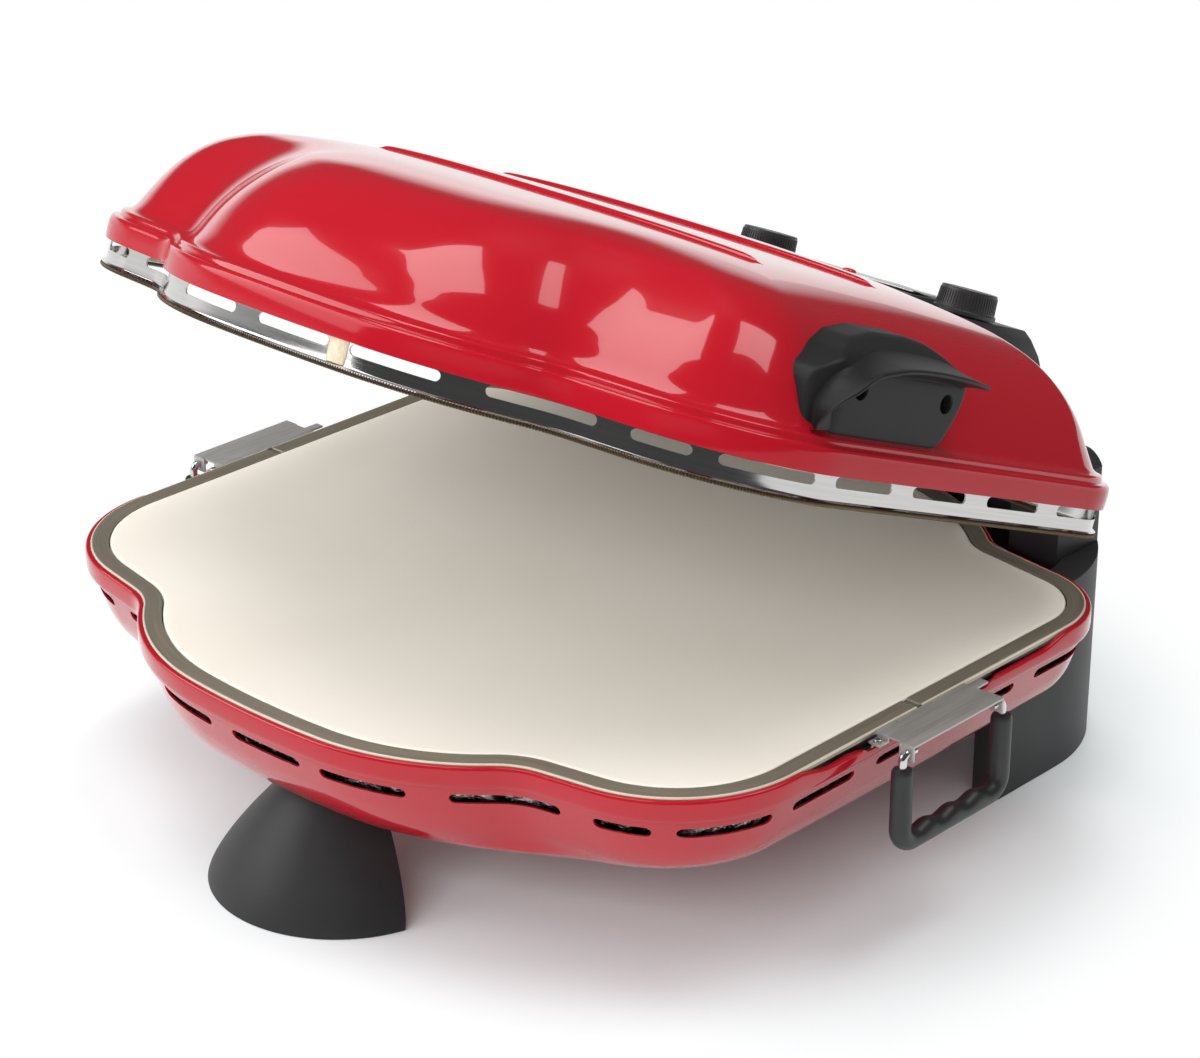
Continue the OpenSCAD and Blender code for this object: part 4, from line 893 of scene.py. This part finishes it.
def lid_spot(s, row):
    """A place on the lid: its rows stand further out at the front than at the back."""
    fore, height, aft = row
    share = (edge(s)[1] + half_d) / (2 * half_d)
    return (*between(lofted(s, fore), lofted(s, aft), share), height)


dome = eased([(5.6, 39.9, 5.4), (3.2, 41.6, 3.0), (0.3, 46, 0), (-3.5, 54, -5.5), (-8.8, 64, -13),
              (-17, 76, -25), (-28.5, 88, -39), (-42, 97.7, -54), (-60, 105.6, -74), (-96, 112, -105),
              (-145, 115, -150), (-200, 116.5, -202), (-246, lid_top, -246)], 5)
lid_lip = [(15.2, 20.3), (15.45, 22), (15.6, 26), (15.5, 30.5), (15.2, 32.7), (14.7, 33.9), (13.9, 34.6),
           (12.6, 34.9), (11.2, 35.0), (10.5, 35.25), (10.15, 35.9), (9.9, 37.0), (9.55, 38.2), (8.9, 38.9),
           (7.6, 39.3)]
lid_rows = [(d, z, d) for d, z in lid_lip] + dome
lid_inside = [(d, z, d) for d, z in ((13.6, 20.3), (13.6, 33), (8, 33.4), (3, 38.4))] + [
    (a - lid_sheet, z - 1.2, b - lid_sheet) for a, z, b in dome[5::3]]
lid_around = stops(3.2)
lid_n = len(lid_around)
# In mm and closed: first the outer face, on which the ribs and the handle find the dome, then the inside
lid_points = [lid_spot(s, row) for row in lid_rows for s in lid_around]
lid_faces = bands(lid_n, len(lid_rows))
capped(lid_points, lid_faces, len(lid_points) - lid_n, lid_n, (0, 0, lid_top))
dome_mesh = BVHTree.FromPolygons(lid_points, lid_faces)
inside_first = len(lid_points)
lid_points += [lid_spot(s, row) for row in lid_inside for s in lid_around]
lid_faces += bands(lid_n, len(lid_inside), inside_first)
lid_faces += [(i, inside_first + i, inside_first + (i + 1) % lid_n, (i + 1) % lid_n) for i in range(lid_n)]
capped(lid_points, lid_faces, len(lid_points) - lid_n, lid_n, (0, 0, lid_ceiling))
lid_red = enamel("lid_red")
# The enamel is duller on the lip's upright face than on the dome
lid_up = Vector(on_lid(0, 0, 1000)) - Vector(on_lid(0, 0, 0))
lip_tree = lid_red.node_tree
lip_place = made(lip_tree, "ShaderNodeTexCoord").outputs["Object"]
lip_level = made(lip_tree, "ShaderNodeVectorMath", {0: lip_place, 1: lid_up}, operation="DOT_PRODUCT")
lip_start, lip_end = (Vector(on_lid(0, 0, z)).dot(lid_up) for z in (lip_dull_z, lip_bright_z))
lip_gloss = ranged(lip_tree, lip_level.outputs["Value"], lip_start, lip_end, 0.15, 0.8)
fed(shader_of(lid_red), {"Coat Weight": lip_gloss})
dressed("lid_enamel", [on_lid(*p) for p in lid_points], lid_faces, lid_red, "lid", ["lid_shell"],
        "red_enamel", 40)

rib_half, rib_half_w, rib_steps = 150.0, 17.0, 96
rib_places = (-62.0, 48.0)


def dome_height(x, y):
    """Height of the closed dome over a place."""
    hit = dome_mesh.ray_cast(Vector((x, y, 300)), Vector((0, 0, -1)))
    return hit[0].z if hit[0] else 0.0


# Height of a rib over the dome, at a distance in from its outline: a small fillet at its foot
# and a rounded shoulder
rib_rise = [(-2.2, -0.25), (-1.3, 0.0), (-0.7, 0.18), (-0.2, 0.55), (0.25, 1.25), (0.7, 1.8), (1.3, 2.15),
            (2.3, 2.4), (4.2, 2.5), (8.0, 2.5), (12.5, 2.5)]
rib_r = (rib_half ** 2 + rib_half_w ** 2) / (2 * rib_half_w)
rib_points, rib_faces, rib_turn = [], [], rib_steps // 2
for rib_y in rib_places:
    rib_faces += bands(rib_steps, len(rib_rise), len(rib_points))
    for inset, rise in rib_rise:
        r = rib_r - inset
        reach = sqrt(max(r ** 2 - (rib_r - rib_half_w) ** 2, 1.0))
        for i in range(rib_steps):
            side = 1 if i < rib_turn else -1
            x = side * reach * cos(pi * (i % rib_turn) / rib_turn)
            y = side * (sqrt(max(r ** 2 - x ** 2, 0.0)) - (rib_r - rib_half_w))
            rib_points.append(on_lid(x, rib_y + y, dome_height(x, rib_y + y) + rise))
    last = len(rib_points) - rib_steps
    rib_faces += [(last, last + 1, last + rib_steps - 1),
                  (last + rib_turn - 1, last + rib_turn, last + rib_turn + 1)]
    rib_faces += [(last + i, last + i + 1, last + rib_steps - i - 1, last + rib_steps - i)
                  for i in range(1, rib_turn - 1)]
dressed("lid_ribs", rib_points, rib_faces, lid_red, "lid", (), "red_enamel", 60)

# ---- Skirt ----
# A polished steel band riveted inside the lid's lip, slotted to let the steam out.
# Its lower edge is turned outwards over the bead.
skirt_out, skirt_sheet, skirt_slot_z, skirt_slot_h = 12.0, 1.0, 16.7, 6.1
skirt_steel = surface("skirt_steel", (0.58, 0.575, 0.57), 0.12, 1.0)
skirt_lines = noise(skirt_steel, 500, 4, (0.03, 1, 1), "UV")
tinted(skirt_steel, skirt_lines, (0.54, 0.535, 0.53), (0.64, 0.635, 0.62), 0.2, 0.8)
worn(skirt_steel, skirt_lines, 0.07, 0.18)
skirt_rows = [(14.4, 5.85), (12.9, 5.95), (12.3, 6.25), (12.05, 6.8), (skirt_out, 7.6), (skirt_out, 10.5),
              (skirt_out, 22), (skirt_out, 27), (skirt_out, 32.7)]


def skirt_spot(s, d, z):
    """A place on the skirt, s mm along the edge and d mm out from it."""
    return on_lid(*lofted(s, d), z)


skirt_points, skirt_faces, _, _ = slotted_shell(
    skirt_rows, skirt_slot_z, skirt_slot_h, skirt_sheet, skirt_spot)
unrolled(dressed("lid_skirt_band", skirt_points, skirt_faces, skirt_steel, "lid", ["lid_skirt"],
                 "polished_steel", 30), from_lid)

# ---- Bead ----
# Two bronze-coloured wires laid round each other under the skirt, where the lid meets the rim.
bead_d, bead_pitch, bead_step, bead_out, bead_z = 0.0030, 0.0036, 0.0006, 13.3, 4.3
bead_bronze = brushed("bead_bronze", (0.21, 0.16, 0.10), 0.5, 900, (1, 1, 1), "Object")
rope, sizes = tree_of("bead_rope", dict.fromkeys(
    ("Strand radius", "Strand offset", "Pitch", "Step"), "Float"))
wire = made(rope, "GeometryNodeMeshToCurve", {"Mesh": sizes["Geometry"]})
wire = made(rope, "GeometryNodeResampleCurve", {"Curve": wire, "Length": sizes["Step"]}, mode="LENGTH")
wire_way = made(rope, "GeometryNodeSplineParameter").outputs["Length"]
wire_tilt = reckoned(rope, "MULTIPLY", reckoned(rope, "DIVIDE", wire_way, sizes["Pitch"]), 2 * pi)
wire = made(rope, "GeometryNodeSetCurveTilt", {"Curve": wire, "Tilt": wire_tilt})
both_strands = made(rope, "GeometryNodeJoinGeometry")
for strand in (1, -1):
    section = made(rope, "GeometryNodeCurvePrimitiveCircle", {
        "Resolution": 7, "Radius": sizes["Strand radius"]})
    shift = made(rope, "ShaderNodeCombineXYZ", {
        "X": reckoned(rope, "MULTIPLY", sizes["Strand offset"], strand)})
    aside = made(rope, "GeometryNodeTransform", {"Geometry": section, "Translation": shift})
    sweep = made(rope, "GeometryNodeCurveToMesh", {"Curve": wire, "Profile Curve": aside})
    fed(both_strands, {"Geometry": sweep})
ended(rope, sizes, both_strands)
bead_line = [on_lid(*lofted(s, bead_out), bead_z) for s in stops(2.5)]
bead_joins = [(i, (i + 1) % len(bead_line)) for i in range(len(bead_line))]
bead_mesh = grown("lid_bead_rope", bead_line, bead_joins, rope, {
    "Strand radius": bead_d * 0.3, "Strand offset": bead_d * 0.2, "Pitch": bead_pitch,
    "Step": bead_step, "Material": bead_bronze})
settled("lid_bead_rope", bead_mesh, bead_bronze, "lid", ["lid_bead"], "bead_bronze", 60)

# ---- Clip ----
# A half-round brushed clip, riveted over the web between two of the skirt's slots.
clip_tan = brushed("clip_tan", (0.82, 0.70, 0.52), 0.45, 800, (1, 1, 0.03), "Object", 0.35)
clip_at, clip_half_w, clip_proud, clip_steps = 43.6, 6.6, 1.7, 14
clip_points = []
for z, short in ((6.8, 0.5), (7.2, 0.0), (22.4, 0.0), (22.8, 0.5)):
    for i in range(clip_steps + 1):
        turn = pi * i / clip_steps
        clip_points.append(skirt_spot(clip_at - (clip_half_w - short) * cos(turn),
                                      skirt_out + (clip_proud - short) * sin(turn) + 0.02, z))
dressed("skirt_clip", clip_points, tube(clip_steps + 1, 4), clip_tan, "lid", ["lid_clip"], "clip_tan", 40)

# ---- Side handle ----
# A moulded handle screwed to the dome's right flank, with a visor that keeps the fingers off it.
handle_black = mottled("handle_black", (0.011, 0.011, 0.0115), 0.5, (30,), (0.010, 0.010, 0.0105),
                       (0.012, 0.012, 0.0125), (1600, 0.35, 0.0001), more={"Specular IOR Level": 0.3})
handle_x, handle_r, handle_screw_z, handle_screw_y = 265.0, 2.5, 66.0, (-95.0, -15.0)
visor_reach, visor_edge, visor_round, blend = 19, 1.2, 1.1, 1.5
brow_z, slant_z, nose_y = 74, 85, -110
handle_outline = [(-126, 40), (-130, 43), (-131, 50), (-131, 68), (-129, 72.5), (-111, 83.5), (-89, 91),
                  (-61, 95), (-27, 95.5), (-13, 94), (-4, 90), (0, 85), (1, 79), (1, 68), (-2, 58),
                  (-7, 48.5), (-10, 43), (-15, 40), (-21, 39.6), (-70, 39.6)]


def lies_in(y, z, outline):
    """True where a place is inside an outline."""
    inside = False
    for (ay, az), (by, bz) in zip(outline, outline[1:] + outline[:1]):
        if (az > z) != (bz > z) and y < (by - ay) * (z - az) / (bz - az) + ay:
            inside = not inside
    return inside


def handle_front(y, z, from_edge):
    """How far out the block's face is: upright, sloping back at the top and at its front end."""
    top = 0.0 if z < brow_z else (z - brow_z) ** 2 / 13 if z < slant_z else 9.3 + (z - slant_z) * 1.9
    end = max(0.0, nose_y - y) * 0.42
    slope = blend * log(exp(top / blend) + exp(end / blend)) - blend * log(2)
    fillet = handle_r - sqrt(max(0.0, handle_r ** 2 - (handle_r - min(from_edge, handle_r)) ** 2))
    return handle_x - slope - fillet


handle_edge = []
for a, b in zip(handle_outline, handle_outline[1:] + handle_outline[:1]):
    steps = max(1, round(dist(a, b) / 2.5))
    handle_edge += [between(a, b, i / steps) for i in range(steps)]
for _ in range(2):
    handle_edge = [tuple((p + 2 * q + r) / 4 for p, q, r in zip(a, b, c)) for a, b, c in zip(
        handle_edge[-1:] + handle_edge[:-1], handle_edge, handle_edge[1:] + handle_edge[:1])]


def drawn_in(outline, by):
    """An outline moved inwards."""
    moved = []
    for i, (y, z) in enumerate(outline):
        a, b = outline[i - 1], outline[(i + 1) % len(outline)]
        size = dist(a, b)
        moved.append((y + by * (b[1] - a[1]) / size, z - by * (b[0] - a[0]) / size))
    return moved


def dome_side(y, z):
    """How far out the closed dome stands on its right at a place."""
    hit = dome_mesh.ray_cast(Vector((400, y, z)), Vector((-1, 0, 0)))
    return hit[0].x if hit[0] else 200.0


def pocketed(mesh, tool):
    """A mesh with another solid taken off it."""
    body, other = placed(mesh.name, mesh), placed(tool.name, tool)
    cut = body.modifiers.new("cut", "BOOLEAN")
    cut.operation = "DIFFERENCE"
    cut.solver = "EXACT"
    cut.object = other
    left = evaluated(body, mesh.name)
    bpy.data.objects.remove(other)
    return left


# The block's back lies in the dome; its front is rounded over in rings, then filled with triangles
block_points, block_insets = [], (0.0, 0.12, 0.45, 1.0, 1.7, handle_r)
block_n = len(handle_edge)
for y, z in handle_edge:
    block_points.append(on_lid(min(dome_side(y, z) - 1.2, handle_front(y, z, 0) - 1), y, z))
for inset in block_insets:
    for y, z in drawn_in(handle_edge, inset):
        block_points.append(on_lid(handle_front(y, z, inset), y, z))
block_faces = bands(block_n, len(block_insets) + 1)
rim_2d = drawn_in(handle_edge, block_insets[-1])
rim_first = len(block_points) - block_n
inner_2d = [(y, z) for y in range(-128, 1, 4) for z in range(42, 95, 3)
            if lies_in(y, z, drawn_in(handle_edge, block_insets[-1] + 1.6))]
made_2d, _, made_faces, origin_verts, _, _ = delaunay_2d_cdt(
    [Vector(p) for p in rim_2d + inner_2d], [(i, (i + 1) % block_n) for i in range(block_n)], [], 1, 1e-4)
face_at = []
for spot, origin in zip(made_2d, origin_verts):
    known = [o for o in origin if o < block_n]
    if known:
        face_at.append(rim_first + known[0])
    else:
        face_at.append(len(block_points))
        block_points.append(on_lid(handle_front(spot.x, spot.y, 9), spot.x, spot.y))
block_faces += [tuple(face_at[v] for v in f) for f in made_faces]
block_faces.append(tuple(range(block_n)))


def turned_x(profile, y, z, sides=32):
    """Points and faces of a solid turned about an axis along the lid's x: a profile of [x, radius]."""
    points = [on_lid(x, y + r * c, z + r * w) for x, r in profile for c, w in wheel(sides)]
    return points, tube(sides, len(profile))


block = solid("handle_block", block_points, block_faces)
pocket_profile = [(253, 5.0), (264.1, 5.0), (264.7, 5.35), (265.4, 6.1), (280, 6.1)]
for y in handle_screw_y:
    block = pocketed(block, solid("pocket", *turned_x(pocket_profile, y, handle_screw_z)))
settled("handle_block", block, handle_black, "lid", ["side_handle"], "black_plastic", 30)

# The visor's root on the block and its free edge, as [root y, root z, how far out, edge y, edge z]
visor_line = [(-119.5, 41, 0.02, -127, 41), (-120.5, 47, 0.15, -128.5, 47), (-121.5, 57, 0.5, -126, 58),
              (-115, 69.5, 0.8, -120, 67), (-101, 76.5, 0.95, -109, 77), (-81, 81.5, 1, -90, 82),
              (-58, 83.5, 1, -72, 84), (-32, 84, 1, -49, 84.5), (-16, 83.5, 0.98, -22, 83.5),
              (-6, 82.5, 0.8, -2, 81.5)]


def seated(spot, more):
    """The place on the block's face at a spot's height, raised by more."""
    return Vector((handle_front(spot.y, spot.z, 9) + more, spot.y, spot.z))


def curved(a, b, c):
    """A curve from a to c that leaves towards b."""
    return [a * (1 - t) ** 2 + b * 2 * t * (1 - t) + c * t ** 2 for t in (j / 10 for j in range(11))]


visor_line = eased(visor_line, 7)
visor_rows = []
for i, (ry, rz, out, ey, ez) in enumerate(visor_line):
    a, b = visor_line[max(i - 1, 0)], visor_line[min(i + 1, len(visor_line) - 1)]
    size = hypot(b[0] - a[0], b[1] - a[1])
    up = Vector((0, (a[1] - b[1]) / size, (b[0] - a[0]) / size))
    root, free = Vector((0, ry, rz)), Vector((handle_x + visor_reach * out, ey, ez))
    over = seated(root + up * 1.2, 0.9)
    section = curved(seated(root + up * 5, -0.6), over, free)
    # The free edge is rounded over
    tip = (free - over).normalized()
    section += [free - up * visor_edge + up * visor_edge * c + tip * visor_round * w
                for c, w in ((cos(radians(q)), sin(radians(q))) for q in range(30, 180, 30))]
    under = seated(root - up * 4.5, 1.2)
    section += curved(seated(root - up * 8, -0.6), under, free - up * (2 * visor_edge))[::-1]
    # The first section lies back in the block
    visor_rows.append([p - Vector((3, 0, 0)) for p in section] if i == 0 else section)
# The last sections close in on their middle to round the rear end
for share, ahead in ((0.93, 0.9), (0.75, 1.5)):
    middle = sum(visor_rows[-1], Vector()) / len(visor_rows[-1])
    visor_rows.append([middle + (p - middle) * share + Vector((0, ahead, 0)) for p in visor_rows[-1]])
visor_points = [on_lid(*p) for row in visor_rows for p in row]
dressed("handle_visor", visor_points, tube(len(visor_rows[0]), len(visor_rows)), handle_black, "lid", (),
        "black_plastic", 50)

# ---- Rear pod, dials and lamp ----
# A black moulded housing behind the dome; a brushed strip on its top carries the red lamp
# between the two thermostat dials.
pod_black = mottled("pod_black", (0.022, 0.022, 0.023), 0.4, (30,),
                    (0.020, 0.020, 0.021), (0.025, 0.025, 0.026), (1500, 0.25, 0.00008))
from_cad("pod_housing", "pod_cover", pod_black, "lid", 0.8, "black_plastic")
plate_steel = brushed("plate_steel", (0.62, 0.61, 0.60), 0.25, 900, (0.03, 1, 1), "Object")
from_cad("plate_strip", "control_plate", plate_steel, "lid", 0.25, "trim")
for side in ("left", "right"):
    from_cad("arm_" + side, "hinge_arm_" + side, zinc, "lid", 0.4, "sheet_steel")


def turned_up(profile, x, y, sides=64):
    """Points and faces of a solid turned about the lid's upright axis: a profile of [radius, z]."""
    points = [on_lid(x + r * c, y + r * w, z) for r, z in profile for c, w in wheel(sides)]
    faces = bands(sides, len(profile))
    capped(points, faces, 0, sides, on_lid(x, y, profile[0][1]))
    capped(points, faces, (len(profile) - 1) * sides, sides, on_lid(x, y, profile[-1][1]))
    return points, faces


lamp_x, lamp_y, lamp_r, lamp_low, lamp_shoulder, lamp_rise = -8.0, 242.0, 5.0, 101.2, 108.3, 1.85
lamp_red = mottled("lamp_red", (0.50, 0.012, 0.010), 0.12, (300,),
                   (0.44, 0.010, 0.008), (0.56, 0.016, 0.012), more={"Coat Weight": 1.0})
lamp_dome = [(lamp_r, lamp_low), (lamp_r, lamp_shoulder)] + [
    (lamp_r * cos(radians(a)), lamp_shoulder + lamp_rise * sin(radians(a))) for a in range(15, 90, 15)]
dressed("lamp_dome", *turned_up(lamp_dome, lamp_x, lamp_y, 32), lamp_red, "lid", ["lamp_lens"],
        "lamp_red", 60)

knob_x, knob_y, knob_low, grip_mid = 83.0, 248.0, 102.0, 9.2
dial_black = mottled("dial_black", (0.026, 0.026, 0.027), 0.42, (40,),
                     (0.024, 0.024, 0.025), (0.029, 0.029, 0.030), (1500, 0.25, 0.00008))
dial_side = [(18.0, 0.2), (20.2, 0.2), (20.5, 0.5), (20.5, 2.7), (20.2, 3.05), (19.35, 3.5), (18.9, 6.5),
             (18.5, 10.5), (18.3, 15.4), (18.1, 16.1), (17.6, 16.4), (16.2, 16.4)]
dial_ribs, sizes = tree_of("dial_ribs", {
    "Count": "Int", **dict.fromkeys(("Radius", "Width", "Depth", "Height", "Lean"), "Float")})
rib_size = made(dial_ribs, "ShaderNodeCombineXYZ", {
    "X": sizes["Depth"], "Y": sizes["Width"], "Z": sizes["Height"]})
rib_lean = made(dial_ribs, "ShaderNodeCombineXYZ", {
    "Y": reckoned(dial_ribs, "MULTIPLY", sizes["Lean"], -1.0)})
rib_bar = made(dial_ribs, "GeometryNodeTransform", {
    "Geometry": made(dial_ribs, "GeometryNodeMeshCube", {"Size": rib_size}), "Rotation": rib_lean})
rib_ring = made(dial_ribs, "GeometryNodeMeshCircle", {
    "Vertices": sizes["Count"], "Radius": sizes["Radius"]})
rib_way = made(dial_ribs, "GeometryNodeInputPosition")
rib_aim = made(dial_ribs, "FunctionNodeAlignRotationToVector", {"Vector": rib_way}, axis="X")
ended(dial_ribs, sizes, made(dial_ribs, "GeometryNodeInstanceOnPoints", {
    "Points": rib_ring, "Instance": rib_bar, "Rotation": rib_aim}))

for side, x in (("left", -knob_x), ("right", knob_x)):
    dressed("dial_" + side, *turned_up([(r, z + knob_low) for r, z in dial_side], x, knob_y),
            dial_black, "dial_" + side, ["knob_" + side], "black_plastic", 40)
    ribs = grown("dial_grip_" + side, [(0, 0, 0)], [], dial_ribs, {
        "Count": 60, "Radius": 0.0184, "Width": 0.0008, "Depth": 0.0013, "Height": 0.0106, "Lean": 0.06,
        "Material": dial_black})
    for v in ribs.vertices:
        v.co = on_lid(x + v.co.x * 1000, knob_y + v.co.y * 1000, knob_low + grip_mid + v.co.z * 1000)
    settled("dial_grip_" + side, ribs, dial_black, "dial_" + side, (), "black_plastic", 30)

# ---- Screw heads in place ----
# The handle's screws sit deep in its pockets; the others hold the brackets, hinge arms and feet.
upwards, downwards = (0, 0, pi / 4), (pi, 0, 0.3)
rightwards, leftwards = (0.4, pi / 2, 0), (0.4, -pi / 2, 0)
for name, node, head_size, body, groups in (
        ("bracket_screw_heads", "bracket_screws", (5.6, 1.6, 3.4, 0.9, 1.0), "base",
         [(upwards, [on_base(side * 277.3, -43.4, -4) for side in (-1, 1)])]),
        ("casing_screw_heads", "casing_screws", (8.0, 2.4, 4.6, 1.2, 1.4), "base",
         [(downwards, [on_base(x, y, floor_z - 0.02) for x in (-150, 150) for y in (-100, 100)])]),
        ("handle_screw_heads", "handle_screws", (8.0, 2.6, 4.6, 1.2, 1.4), "lid",
         [(rightwards, [on_lid(253, y, handle_screw_z) for y in handle_screw_y])]),
        ("hinge_screw_heads", "hinge_screws", (7.0, 1.6, 4.0, 1.0, 1.0), "lid",
         [(rightwards, [on_lid(161, y, 44) for y in (226, 250)]),
          (leftwards, [on_lid(-161, y, 44) for y in (226, 250)])])):
    head = cross_head(name + "_shape", *head_size)
    for k, (turn, spots) in enumerate(groups):
        screws(name + "_" * k, head, spots, turn, body, [node] if k == 0 else ())
    bpy.data.objects.remove(head)
